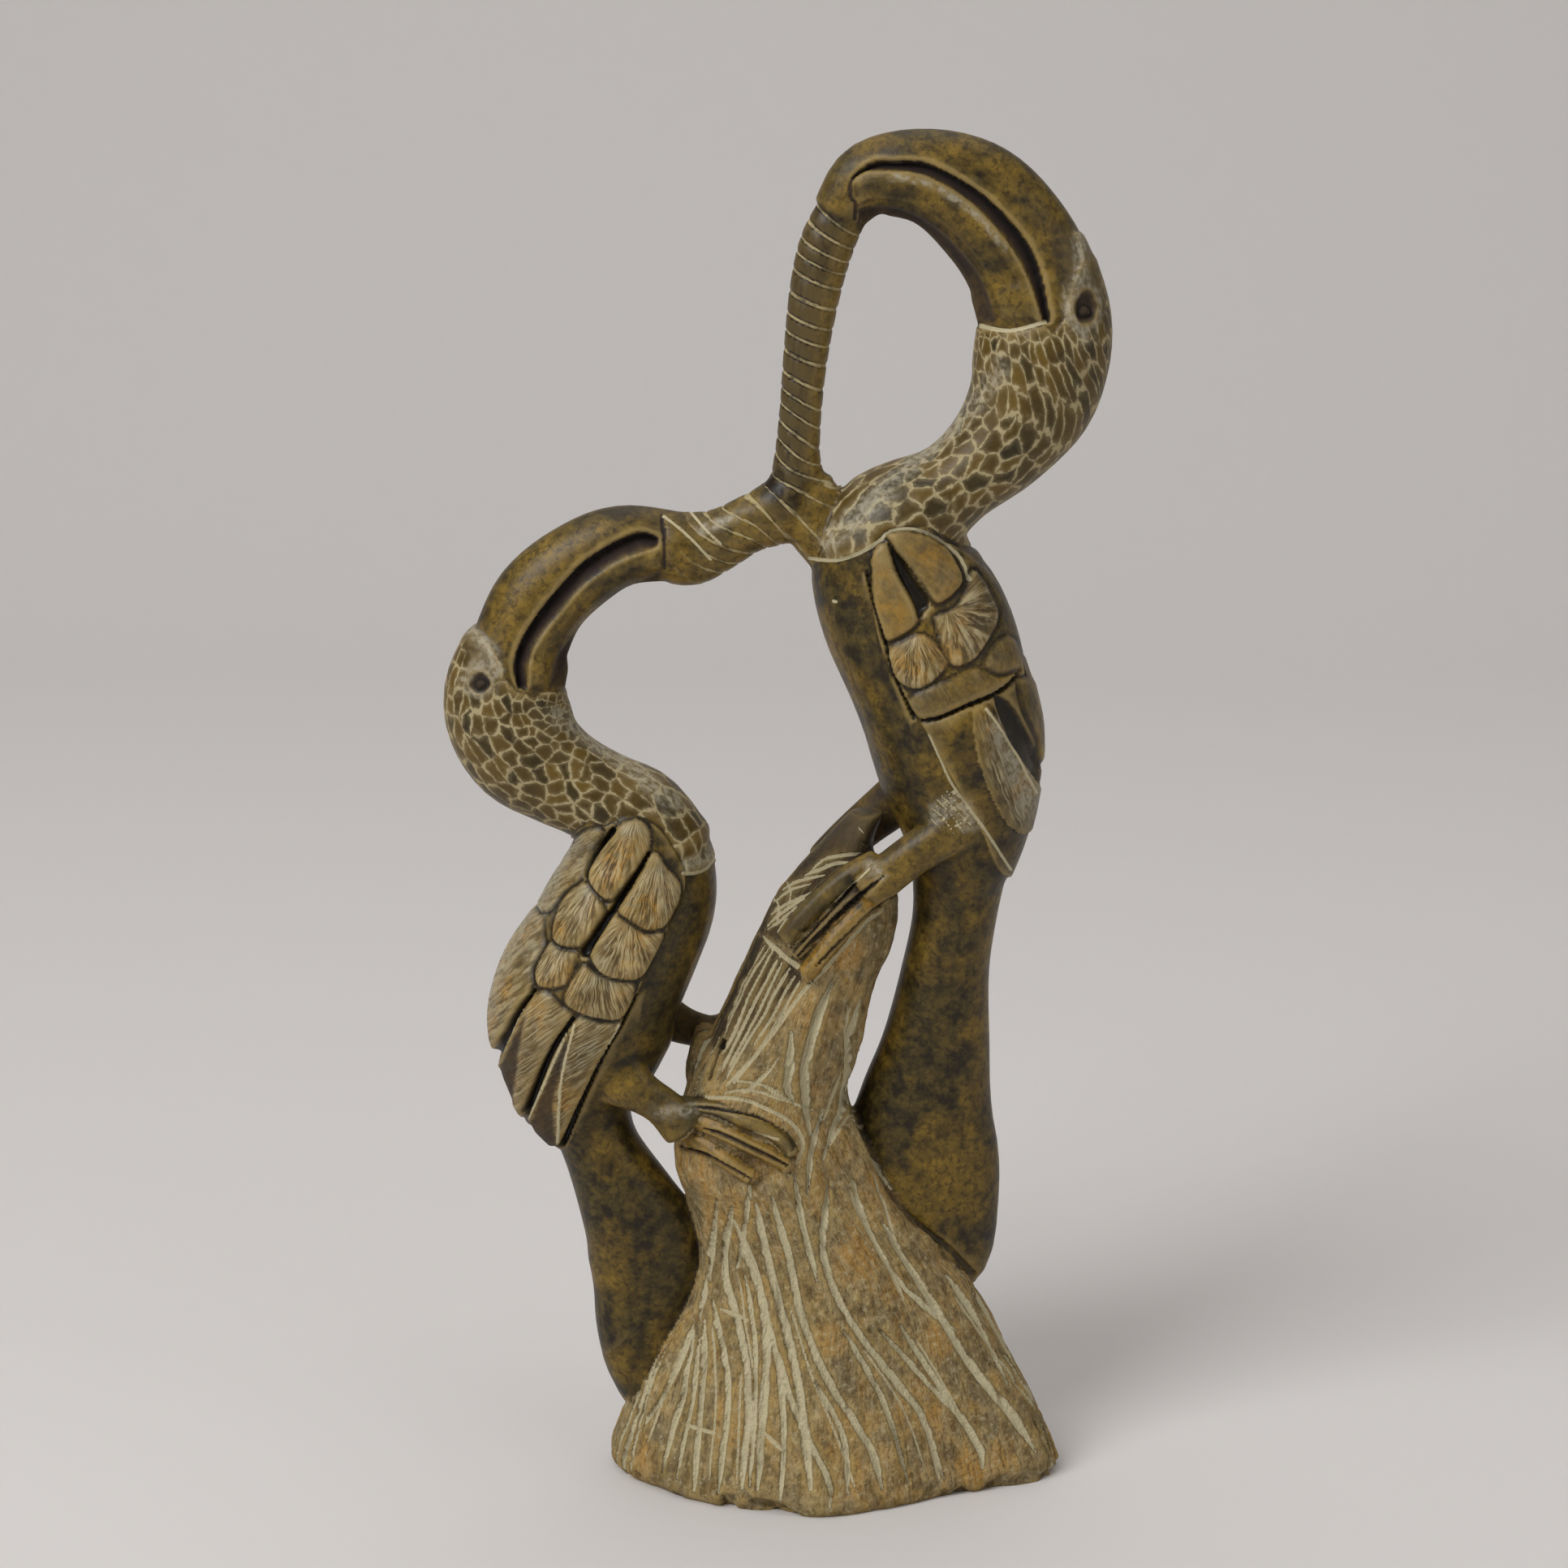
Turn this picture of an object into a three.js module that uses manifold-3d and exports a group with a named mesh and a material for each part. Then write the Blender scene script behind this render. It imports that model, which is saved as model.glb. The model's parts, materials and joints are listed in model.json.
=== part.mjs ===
// Two hornbills carved in one stone. They face each other on a fluted tree stump and share one worm.
// Millimetres, +Z up. The origin is the middle of the flat underside, and the front view looks along +Y.

import * as THREE from 'three';
import { mergeVertices } from 'three/addons/utils/BufferGeometryUtils.js';
import Module from 'manifold-3d';

const wasm = await Module();
wasm.setup();

// Driving dimensions
const BASE_HALF_WIDTH = 68;
const BASE_HALF_DEPTH = 40;
const FLUTE_COUNT = 22;
const FLUTE_DEPTH = 2;
const MOUTH_WIDTH = 3.4;
const MOUTH_DEPTH = 4;
const FACE_STEP = 0.9;
const EYE_RADIUS = 3.4;
const TOE_HALF_WIDTH = 4.2;
const TOE_HALF_HEIGHT = 3.4;
const WING_LIFT = 1.1;
const FEATHER_LIFT = 1.3;
const THROUGH = 160;

// Proportions, each a part of the size beside it
const FLUTES_FADE_BELOW = 20;
const EYE_TALL = 1.15;
const EYE_FLAT = 0.75;
const EYE_SEAT = 0.76;
const TOE_TAPER = 0.12;
const HEEL_SPREAD = 0.4;
const HEEL_DROP = 0.8;
const FEATHER_ROOT = 0.3;
const FEATHER_BULGE = 0.6;
const ROUND_END = 0.5;
const FLAT_END = 0.15;

// Fineness of the facets
const SIDES = 12;
const RING_STEP = 12;
const BODY_SIDES = 12;
const SMALL_SIDES = 6;
const WORM_SIDES = 10;
const GROOVE_STEPS = 7;
const DOME_SCALE = 0.6;

const STONE = { color: 0x4f4a2c, roughness: 0.45, metalness: 0 };

// Solids

function solidOf(geometry) {
  const plain = geometry.clone();
  plain.deleteAttribute('normal');
  plain.deleteAttribute('uv');
  const merged = mergeVertices(plain, 1e-4);
  return new wasm.Manifold(new wasm.Mesh({
    numProp: 3,
    vertProperties: new Float32Array(merged.attributes.position.array),
    triVerts: new Uint32Array(merged.index.array),
  }));
}

/** Joins equal rings of points into one closed skin, each end shut by a fan of triangles. */
function skin(rings) {
  const sides = rings[0].length;
  const points = rings.flat();
  const index = [];
  for (let r = 0; r + 1 < rings.length; r += 1) {
    for (let s = 0; s < sides; s += 1) {
      const a = r * sides + s;
      const b = r * sides + ((s + 1) % sides);
      index.push(a, b, b + sides, a, b + sides, a + sides);
    }
  }
  const ends = [[rings[0], 0, 1], [rings.at(-1), (rings.length - 1) * sides, 0]];
  for (const [ring, first, flip] of ends) {
    const middle = ring.reduce((sum, p) => sum.add(p), new THREE.Vector3()).divideScalar(sides);
    points.push(middle);
    for (let s = 0; s < sides; s += 1) {
      const pair = [first + s, first + ((s + 1) % sides)];
      index.push(pair[flip], pair[1 - flip], points.length - 1);
    }
  }
  const geometry = new THREE.BufferGeometry().setFromPoints(points);
  geometry.setIndex(index);
  return outward(geometry);
}

/** Turns the faces over when they enclose a negative volume. */
function outward(geometry) {
  const position = geometry.attributes.position;
  const corner = [0, 1, 2].map(() => new THREE.Vector3());
  let volume = 0;
  for (let i = 0; i < geometry.index.count; i += 3) {
    corner.forEach((c, k) => c.fromBufferAttribute(position, geometry.index.getX(i + k)));
    volume += corner[0].dot(corner[1].cross(corner[2]));
  }
  if (volume < 0) geometry.index.array.reverse();
  return geometry;
}

/** A limb with oval sections through stations [x, z, half width, half depth, y], rounded at both ends. */
function limb(stations, { sides = SIDES, step = RING_STEP, grow = 0, dome = ROUND_END } = {}) {
  const middle = new THREE.CatmullRomCurve3(stations.map(([x, z, , , y = 0]) => new THREE.Vector3(x, y, z)));
  const size = new THREE.CatmullRomCurve3(stations.map(([, , w, d]) => new THREE.Vector3(w + grow, d + grow, 0)));
  const count = Math.max(3, Math.round(middle.getLength() / step));
  const ring = (at, scale, shift) => {
    const along = middle.getTangent(at);
    const across = new THREE.Vector3(0, 1, 0).addScaledVector(along, -along.y).normalize();
    const outer = new THREE.Vector3().crossVectors(along, across);
    const centre = middle.getPoint(at).addScaledVector(along, shift);
    const half = size.getPoint(at);
    return Array.from({ length: sides }, (_, s) => {
      const angle = (2 * Math.PI * s) / sides;
      return centre.clone()
        .addScaledVector(outer, half.x * scale * Math.cos(angle))
        .addScaledVector(across, half.y * scale * Math.sin(angle));
    });
  };
  const rings = [];
  const reach = (at) => dome * size.getPoint(at).y;
  rings.push(ring(0, DOME_SCALE, -reach(0)));
  for (let i = 0; i <= count; i += 1) rings.push(ring(i / count, 1, 0));
  rings.push(ring(1, DOME_SCALE, reach(1)));
  return solidOf(skin(rings));
}

/** A prism right through the carving, front to back, whose outline lies in the XZ plane. */
function through(shape, curveSegments = 2) {
  const prism = new THREE.ExtrudeGeometry(shape, { depth: THROUGH, bevelEnabled: false, curveSegments });
  prism.translate(0, 0, -THROUGH / 2).rotateX(Math.PI / 2);
  return solidOf(prism);
}

/** A bar of rectangular section along a route of [x, z] points, at depth y. */
function bar(route, y, width, depth) {
  const half = new THREE.Shape([[-1, -1], [1, -1], [1, 1], [-1, 1]].map(
    ([a, b]) => new THREE.Vector2((a * depth) / 2, (b * width) / 2),
  ));
  const path = new THREE.CatmullRomCurve3(route.map(([x, z]) => new THREE.Vector3(x, z, 0)));
  const sweep = new THREE.ExtrudeGeometry(half, { steps: GROOVE_STEPS, bevelEnabled: false, extrudePath: path });
  sweep.rotateX(Math.PI / 2).translate(0, y, 0);
  return solidOf(sweep);
}

function eyeball(x, y, z) {
  const geometry = new THREE.SphereGeometry(EYE_RADIUS, SMALL_SIDES, 4).scale(1, EYE_FLAT, EYE_TALL);
  return solidOf(geometry.translate(x, y, z));
}

// Stump: the outline of its underside, then level sections [z, middle x, half width, half depth]

const FOOTPRINT = [
  [68, 2], [63.5, -13.5], [36, -25], [14, -34.5], [-3, -40], [-25, -35], [-44, -25.5], [-57, -15.5],
  [-67.5, -1], [-65, 13], [-47, 27], [-20, 36], [6, 39], [36, 34], [59, 20],
];
const ROUND_ABOVE = 84;
const STUMP = [
  [0, 0, BASE_HALF_WIDTH, BASE_HALF_DEPTH],
  [6, -1, 67, 39.5],
  [22, -3.2, 61.5, 35],
  [38, -2.5, 52.5, 31],
  [54, -1, 44, 27.5],
  [68, -4, 37, 25],
  [84, -12.3, 31.8, 23.5],
  [98, -18.5, 30, 23],
  [116, -21.3, 24.7, 22.5],
  [134, -15.4, 23, 20.5],
  [150, -10, 20.6, 18],
  [166, -3.8, 20.5, 15.5],
  [180, 0.5, 16.5, 13.5],
  [192, 3.5, 10.5, 10.5],
  [203, 9, 5, 6],
];

function stumpAt(z) {
  const upper = Math.max(1, STUMP.findIndex(([level]) => level >= z));
  const [low, high] = [STUMP[upper - 1], STUMP[upper]];
  const part = (z - low[0]) / (high[0] - low[0]);
  return low.map((value, i) => value + part * (high[i] - value));
}

/** How far the stump's front stands from its middle plane at x, z. */
function stumpFront(x, z) {
  const [, middle, width, depth] = stumpAt(z);
  const part = Math.min(0.97, Math.abs((x - middle) / width));
  return depth * Math.sqrt(1 - part ** 2);
}

/** The stump's skin: the footprint turns into an oval on the way up, and every second corner is a flute's bed. */
function stump() {
  const unit = FOOTPRINT.map(([x, y]) => new THREE.Vector3(x / BASE_HALF_WIDTH, y / BASE_HALF_DEPTH, 0));
  const outline = new THREE.CatmullRomCurve3(unit, true).getSpacedPoints(2 * FLUTE_COUNT).slice(1);
  const rings = STUMP.map(([z, middle, width, depth]) => {
    const cut = FLUTE_DEPTH * Math.min(1, width / FLUTES_FADE_BELOW);
    return outline.map((foot, s) => {
      const place = foot.clone().lerp(foot.clone().normalize(), Math.min(1, z / ROUND_ABOVE));
      const shrink = s % 2 === 0 ? cut : 0;
      return new THREE.Vector3(middle + (width - shrink) * place.x, (depth - shrink) * place.y, z);
    });
  });
  return solidOf(skin(rings));
}

// Birds: every list is stations [x, z, half width, half depth, y] unless it says otherwise

const tallBird = {
  beak: [
    [-1, 377, 7.6, 6.5], [8, 386, 10.8, 8], [23, 387, 13.4, 9.5], [37, 381, 16.4, 11],
    [48, 369.5, 17.2, 12], [55, 356, 17.6, 13], [57, 345, 17, 13],
  ],
  mouth: [[2, 387], [10, 391.5], [20, 391], [30, 386.5], [41, 377], [49.5, 366], [55, 355.5], [57.5, 346]],
  neck: [
    [54, 358.5, 18.4, 13.6], [58, 346, 19.2, 15], [57.3, 335, 19.4, 15.6], [54, 323.5, 17.7, 15.5],
    [44.5, 311, 14.5, 14.8], [31.5, 301, 13.4, 15], [21, 293.5, 17.5, 18], [15.5, 287, 20.5, 20], [14, 280, 22, 21],
  ],
  eye: [68, 351],
  body: [
    [15, 285, 20.5, 18.5], [16, 276, 23.2, 21.5], [20, 264, 25, 23.5], [24.7, 253, 25.8, 25], [28.6, 243, 25.6, 25.5],
    [31.8, 233, 25.4, 25.5], [34, 222, 24.6, 24], [35, 212, 22.8, 21.5], [36, 203, 20, 18.5],
    [36, 194, 17, 16], [35.2, 184, 13.7, 14],
  ],
  tail: [
    [35.5, 190, 14.5, 13.5], [34, 172, 12.4, 12.5, 1], [31.5, 154, 13, 12, 3], [29, 131, 16.2, 12, 5],
    [26.3, 114, 19.8, 12.5, 6], [25.2, 101, 22.5, 13, 7], [26, 87, 22.7, 13, 7], [27, 74, 21.9, 12.5, 7],
    [25.5, 61, 18.4, 11.5, 6], [23, 48, 13, 10, 5],
  ],
  legs: [
    [[34, 206, 8.5, 7, -13], [27, 200, 6, 5.5, -15.5], [19.5, 193.5, 5.2, 4.8, -15.5], [11, 186.5, 5.5, 4.6, -14]],
    [[23, 211, 8.5, 7, 11], [14.5, 203.5, 6.6, 5.8, 12], [7, 196, 6, 5, 12], [-2, 186.5, 5.6, 4.6, 11]],
  ],
  feet: [
    { side: -1, heel: [13, 187.5], tips: [[-17, 171], [-13.5, 164.5], [-7, 159.5]] },
    { side: 1, heel: [3, 190], tips: [[-21, 166], [-15, 159.5], [-8, 155.5]] },
  ],
  wing: [
    [8, 284], [14, 289], [24, 291.5], [35, 284], [44, 270], [53, 252], [60, 232], [61, 222], [58, 212], [49.5, 192],
    [40, 206], [30, 222], [24.5, 232], [16, 246], [11, 262],
  ],
  feathers: [
    [43, 212, -82, 46, 28, 0.2], [52, 222, -92, 44, 12, 0.5], [26, 239, -150, 20, 13, 0.5],
    [45, 250, -80, 24, 13, 0.6], [21, 250, -76, 17, 14, 0.9], [34, 262, -84, 28, 17, 1],
    [15, 271, -78, 29, 10, 1.5], [25, 279, -54, 26, 15, 1.7],
  ],
};

const lowBird = {
  beak: [
    [-44, 281.5, 9.8, 7.5], [-62, 281.8, 11.7, 9], [-75, 275.6, 12.9, 10], [-86, 265.7, 13.7, 11],
    [-92, 253, 13.9, 12], [-95, 243, 14.5, 13], [-95.5, 235, 14.5, 13],
  ],
  mouth: [[-51, 284.5], [-60, 284.5], [-69, 280.5], [-78, 272.5], [-86, 261.5], [-91, 250.5], [-92.5, 242]],
  neck: [
    [-93, 250.5, 15.6, 12.8], [-96.3, 239, 17.2, 14.2], [-95.2, 230, 17.6, 15], [-90, 220.8, 16.6, 15.2],
    [-81, 213.8, 14.1, 14.4], [-70, 207.7, 13.3, 14.6], [-61.5, 200.8, 17, 17], [-57.5, 191.5, 20.5, 19.8],
  ],
  eye: [-102.5, 244.5],
  body: [
    [-58, 197, 17.5, 17], [-57.3, 188, 21.2, 20.5], [-58.8, 177.6, 23.2, 22.5], [-63, 168, 24.2, 24],
    [-68, 158, 25.2, 24.5], [-72.8, 148.5, 26.4, 24.5], [-75.3, 137.6, 26.6, 22.5], [-76.4, 127, 23.5, 19.5],
    [-76.6, 117, 18.4, 15.5], [-74, 107.5, 13.2, 12],
  ],
  tail: [
    [-74, 112, 12.5, 12], [-70.3, 100.5, 11.6, 11.5], [-62.8, 84, 14.8, 12], [-58.2, 73, 17.4, 12, 1],
    [-56.7, 64, 17.8, 12, 2], [-57.4, 54, 16, 11.5, 2], [-58.4, 44, 13.6, 11, 2], [-58.8, 34, 10.8, 10, 2],
    [-57.5, 24, 8.6, 9, 2],
  ],
  legs: [
    [[-67, 133, 11, 8, -9], [-60, 124, 5.6, 5.4, -14.5], [-54, 119.2, 4.4, 4.2, -16], [-46, 115.6, 5.9, 4.4, -14]],
    [[-64, 140, 11, 8, 10], [-52, 133.6, 6.6, 5, 13.5], [-43, 130.4, 6.2, 4.6, 12], [-34, 128, 5.8, 4.4, 13]],
  ],
  feet: [
    { side: -1, heel: [-45, 114.5], tips: [[-15, 117], [-14.5, 109.5], [-22, 102.5]] },
    { side: 1, heel: [-38, 130.5], tips: [[-6, 135], [-5, 126], [-12, 118]] },
  ],
  wing: [
    [-62, 208], [-54, 204], [-48.5, 194], [-46, 185], [-48, 175], [-56, 163], [-59, 155], [-63, 145], [-72, 122],
    [-78, 106], [-94, 110], [-101, 121], [-106, 140], [-103, 157], [-95, 171], [-84, 188], [-75, 199],
  ],
  feathers: [
    [-93, 136, -104, 46, 15, 0.2], [-80, 129, -112, 40, 17, 0.6], [-93, 163, -118, 30, 12, 0.4],
    [-70, 152, -112, 21, 19, 0.8], [-84, 160, -120, 19, 14, 0.8],
    [-61.5, 169, -112, 20, 19, 1.2], [-75, 176.5, -114, 22, 14, 1.3], [-54, 185, -104, 23, 15, 1.6],
    [-63.5, 194.5, -116, 26, 13, 1.8],
  ],
};

const wormUpright = [
  [2, 380, 7, 6], [-3.5, 369, 7.8, 6.3], [-7, 356, 7.4, 6.3], [-9.7, 338, 6.5, 6], [-11.2, 322, 6.1, 5.8],
  [-12.2, 308, 6.6, 6], [-10, 294, 10.5, 7.5], [-1, 284, 12.5, 9],
];
const wormArm = [
  [-4, 290, 9.5, 8], [-16, 291.5, 9.8, 7.4], [-26, 288, 8.3, 7], [-34, 284.5, 8.2, 7], [-42, 282, 9.8, 7.5],
  [-48, 281.5, 9.6, 7.5],
];

/** A feather's outline with its root at the top: [middle x, middle z, direction, length, width]. */
function featherShape(x, z, degrees, length, width) {
  const turn = THREE.MathUtils.degToRad(degrees);
  const at = (along, across) => [
    x + along * Math.cos(turn) - across * Math.sin(turn),
    z + along * Math.sin(turn) + across * Math.cos(turn),
  ];
  const root = FEATHER_ROOT * width;
  const bulge = FEATHER_BULGE * width;
  const tip = length / 2;
  const shape = new THREE.Shape();
  shape.moveTo(...at(-tip, -root));
  shape.bezierCurveTo(...at(-tip / 2, -bulge), ...at(tip, -bulge), ...at(tip, 0));
  shape.bezierCurveTo(...at(tip, bulge), ...at(-tip / 2, bulge), ...at(-tip, root));
  shape.closePath();
  return shape;
}

/** A wing on both sides of a body: one thin layer, and on it the feathers, each at its own height. */
function wings({ body, wing, feathers }) {
  const layer = (grow) => limb(body, { sides: BODY_SIDES, grow });
  const outline = new THREE.Shape(wing.map(([x, z]) => new THREE.Vector2(x, z)));
  const whole = through(outline);
  let solid = layer(WING_LIFT).intersect(whole);
  for (const [x, z, degrees, length, width, lift] of feathers) {
    const blade = through(featherShape(x, z, degrees, length, width));
    solid = solid.add(layer(WING_LIFT + lift * FEATHER_LIFT).intersect(blade).intersect(whole));
  }
  return solid;
}

/** A foot clasping the stump: three toes that lie on its surface from heel to tips. */
function foot({ side, heel, tips }) {
  return tips.map(([tipX, tipZ], toe) => {
    const spread = (toe - 1) * TOE_HALF_WIDTH;
    const stations = [0, 1 / 3, 2 / 3, 1].map((part) => {
      const x = THREE.MathUtils.lerp(heel[0] + spread * HEEL_SPREAD, tipX, part);
      const z = THREE.MathUtils.lerp(heel[1] - spread * HEEL_DROP, tipZ, part);
      const taper = 1 - TOE_TAPER * part;
      return [x, z, TOE_HALF_WIDTH * taper, TOE_HALF_HEIGHT * taper, side * stumpFront(x, z)];
    });
    return limb(stations, { sides: SMALL_SIDES });
  });
}

function eyes({ eye: [x, z], neck }) {
  const depth = EYE_SEAT * neck[1][3];
  return [-1, 1].map((side) => eyeball(x, side * depth, z));
}

function bird(shape) {
  const beakDepth = shape.beak[4][3];
  const head = limb(shape.neck, { grow: FACE_STEP / 2, dome: FLAT_END });
  let beak = limb(shape.beak);
  for (const side of [-1, 1]) {
    beak = beak.subtract(bar(shape.mouth, side * (beakDepth + 1), MOUTH_WIDTH, 2 * MOUTH_DEPTH));
  }
  const solids = [
    head, limb(shape.body, { sides: BODY_SIDES }), wings(shape), limb(shape.tail),
    ...shape.legs.map((leg) => limb(leg, { sides: SMALL_SIDES })), ...shape.feet.flatMap(foot), ...eyes(shape),
  ];
  return solids.reduce((sum, solid) => sum.add(solid), beak);
}

// One stone

/** The outer skin alone, so that a pocket sealed under a toe is solid stone. */
function withoutPockets(solid) {
  return solid.decompose().reduce((best, shell) => (shell.volume() > best.volume() ? shell : best));
}

function carving() {
  const worm = [wormUpright, wormArm].map((stations) => limb(stations, { sides: WORM_SIDES }));
  const joined = [bird(tallBird), bird(lowBird), ...worm].reduce((sum, solid) => sum.add(solid), stump());
  const mesh = withoutPockets(joined).getMesh();
  const geometry = new THREE.BufferGeometry();
  geometry.setAttribute('position', new THREE.BufferAttribute(mesh.vertProperties, 3));
  geometry.setIndex(new THREE.BufferAttribute(mesh.triVerts, 1));
  const material = new THREE.MeshStandardMaterial(STONE);
  const node = new THREE.Mesh(geometry, material);
  node.name = 'hornbill_carving';
  return node;
}

const carvedHornbills = new THREE.Group();
carvedHornbills.add(carving());

export default carvedHornbills;
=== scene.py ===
"""Two hornbills carved in one serpentine stone: they face each other on a tree stump and share one worm."""

import json
import math
from types import SimpleNamespace

import bpy
import numpy as np
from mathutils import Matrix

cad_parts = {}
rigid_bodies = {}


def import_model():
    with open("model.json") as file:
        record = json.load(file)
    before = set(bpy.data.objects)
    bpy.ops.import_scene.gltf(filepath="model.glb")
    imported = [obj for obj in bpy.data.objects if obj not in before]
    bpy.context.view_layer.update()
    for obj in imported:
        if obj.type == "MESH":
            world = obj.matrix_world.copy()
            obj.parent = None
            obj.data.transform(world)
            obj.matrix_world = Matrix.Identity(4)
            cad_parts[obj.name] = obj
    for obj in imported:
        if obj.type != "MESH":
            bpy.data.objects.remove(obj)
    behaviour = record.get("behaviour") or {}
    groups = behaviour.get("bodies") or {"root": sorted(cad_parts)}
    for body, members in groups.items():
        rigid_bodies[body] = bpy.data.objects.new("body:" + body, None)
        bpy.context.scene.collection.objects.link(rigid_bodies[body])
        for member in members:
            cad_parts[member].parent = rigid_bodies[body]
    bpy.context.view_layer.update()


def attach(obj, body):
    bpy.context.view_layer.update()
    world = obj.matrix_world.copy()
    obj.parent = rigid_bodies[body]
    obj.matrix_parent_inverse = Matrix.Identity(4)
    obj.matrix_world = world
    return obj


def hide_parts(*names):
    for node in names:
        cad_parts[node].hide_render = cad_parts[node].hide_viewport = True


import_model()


# The stump
# A flared trunk under both birds. It is roughed out as a pile of level ovals from the flat foot
# to the knob that the tall bird clasps. Every part is drawn in millimetres and made in metres.

MM = 0.001
# Height, middle, half width and half depth of each oval
STUMP = [
    (0, 0, 68, 40), (6, -1, 67, 39.5), (22, -1.6, 60.9, 35), (38, -2, 53, 31), (54, -1, 44, 27.5),
    (68, -4, 37, 25), (84, -12.3, 31.8, 23.5), (98, -18.5, 30, 23), (116, -21.3, 24.7, 22.5),
    (134, -15.4, 23, 20.5), (150, -10, 20.6, 18), (166, -3.8, 20.5, 15.5), (180, 0, 17, 13.5),
    (192, 1.5, 8.5, 10), (203, 8, 5, 6),
]


def smooth_rows(rows, spacing):
    """More rows on the smooth curve through the given ones, about `spacing` mm apart."""
    rows = np.array(rows, float)
    ends = np.vstack([2 * rows[0] - rows[1], rows, 2 * rows[-1] - rows[-2]])
    smooth = []
    for before, start, end, after in zip(ends, ends[1:], ends[2:], ends[3:]):
        count = max(1, round(np.hypot(*(end - start)[:2]) / spacing))
        for t in np.arange(count) / count:
            bend = 2 * before - 5 * start + 4 * end - after
            twist = 3 * start - before - 3 * end + after
            smooth.append(0.5 * (2 * start + (end - before) * t + bend * t**2 + twist * t**3))
    return np.array(smooth + [rows[-1]])


def stump_at(heights):
    """Middle, half width and half depth of the stump at the given heights."""
    levels, middles, widths, depths = np.array(STUMP, float).T
    return [np.interp(heights, levels, row) for row in (middles, widths, depths)]


def rough_out(name, stations, around=28, spacing=3.0, dome=0.5, level=False):
    """A limb of oval sections through stations (x, z, half width, half depth, y), rounded at both ends."""
    rows = smooth_rows([(*station, 0)[:5] for station in stations], spacing)
    course = np.gradient(rows[:, :2], axis=0)
    lean = np.arctan2(course[:, 0], course[:, 1]) * (not level)
    rings = [(x, y, z, wide, deep, turn) for (x, z, wide, deep, y), turn in zip(rows, lean)]
    for end, way in ((rings[0], -1), (rings[-1], 1)):
        x, y, z, wide, deep, turn = end
        for swell in (0.35, 0.7, 0.92):
            reach = way * dome * deep * swell
            slim = math.sqrt(1 - swell**2)
            spot = (x + reach * math.sin(turn), y, z + reach * math.cos(turn))
            ring = (*spot, wide * slim, deep * slim, turn)
            rings = [ring] + rings if way < 0 else rings + [ring]
    bpy.ops.mesh.primitive_circle_add(vertices=around, radius=MM, fill_type="NGON")
    limb = bpy.context.object
    limb.name = name
    bpy.ops.object.mode_set(mode="EDIT")
    place, wide, deep, turn = np.zeros(3), 1.0, 1.0, 0.0
    for x, y, z, next_wide, next_deep, next_turn in rings:
        if turn or place.any():
            bpy.ops.mesh.extrude_region_move()
        next_place = np.array([x, y, z]) * MM
        bpy.ops.transform.rotate(value=turn, orient_axis="Y", center_override=place)
        bpy.ops.transform.resize(value=(next_wide / wide, next_deep / deep, 1), center_override=place)
        bpy.ops.transform.rotate(value=-next_turn, orient_axis="Y", center_override=place)
        bpy.ops.transform.translate(value=next_place - place)
        place, wide, deep, turn = next_place, next_wide, next_deep, next_turn
    bpy.ops.object.mode_set(mode="OBJECT")
    return limb


bpy.ops.object.select_all(action="DESELECT")
limbs = {"stump": [(middle, z, wide, deep, 0) for z, middle, wide, deep in STUMP]}
limbs["stump spur"] = [
    (-39, 133, 4, 6.5, 5), (-39.7, 126, 5.3, 6.8, 4), (-39.2, 118, 5.7, 7, 3), (-39, 109, 5, 7, 0),
]
rough_out("stump", limbs["stump"], around=48, dome=0.1, level=True)
rough_out("stump spur", limbs["stump spur"], around=16)


# The birds
# Each bird is beak, neck, body and tail, with two legs. Stations are (x, z, half width, half depth, y).
# They stand side on to the front, so one outline serves both faces of the stone.

TALL_BIRD = {
    "beak": [
        (-1, 377, 7.6, 6.5), (8, 386, 10.8, 8), (23, 387, 13.4, 9.5), (37, 381, 16.4, 11),
        (48, 369.5, 17.2, 12), (55, 356, 17.6, 13), (57, 345, 17, 13),
    ],
    "neck": [
        (54, 358.5, 18.2, 13.6), (57.4, 346, 18.6, 15), (56.7, 335, 18.8, 15.6),
        (53.7, 323.5, 17.4, 15.5), (44.8, 310.6, 14, 14.8), (32.6, 299.9, 11.9, 15),
        (22.1, 292.2, 15.8, 18), (16.4, 286.5, 19.5, 20), (14, 280, 22, 21),
    ],
    "body": [
        (15, 285, 20.5, 18.5), (15.4, 276, 24, 21.5), (19.5, 264, 25.6, 23.5), (24.4, 253, 25.8, 25),
        (28, 243, 25.2, 25.5), (31.2, 233, 24.8, 25.5), (33.8, 222, 24.4, 24), (35, 212, 22.8, 21.5),
        (36, 203, 20, 18.5), (36, 194, 17, 16), (35.2, 184, 13.7, 14),
    ],
    "tail": [
        (35.5, 190, 14.5, 13.5, 0), (34, 172, 12.4, 12.5, 1), (31.5, 154, 13, 12, 3),
        (29, 131, 16.2, 12, 5), (26.3, 114, 19.8, 12.5, 6), (25.2, 101, 22.5, 13, 7),
        (26, 87, 22.7, 13, 7), (27, 75, 21, 12.5, 7), (25.4, 68, 20.8, 12, 6), (22.5, 63, 17.5, 11, 5),
        (19, 55, 12, 9.5, 5),
    ],
    "near leg": [
        (37, 206, 8.5, 7.5, -11), (30.5, 200.5, 7.2, 6.4, -15), (22, 195.3, 6.2, 5.4, -16.5),
        (14.6, 189.4, 6.2, 5, -16.5), (8.7, 184, 6.4, 4.8, -16),
    ],
    "far leg": [
        (26, 214, 7, 6.5, 10), (16, 203, 7.4, 6, 12), (8.4, 196.6, 6.8, 5.2, 12),
        (1.3, 190.2, 6.3, 5, 12), (-4, 185, 6, 4.6, 11),
    ],
}
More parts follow.
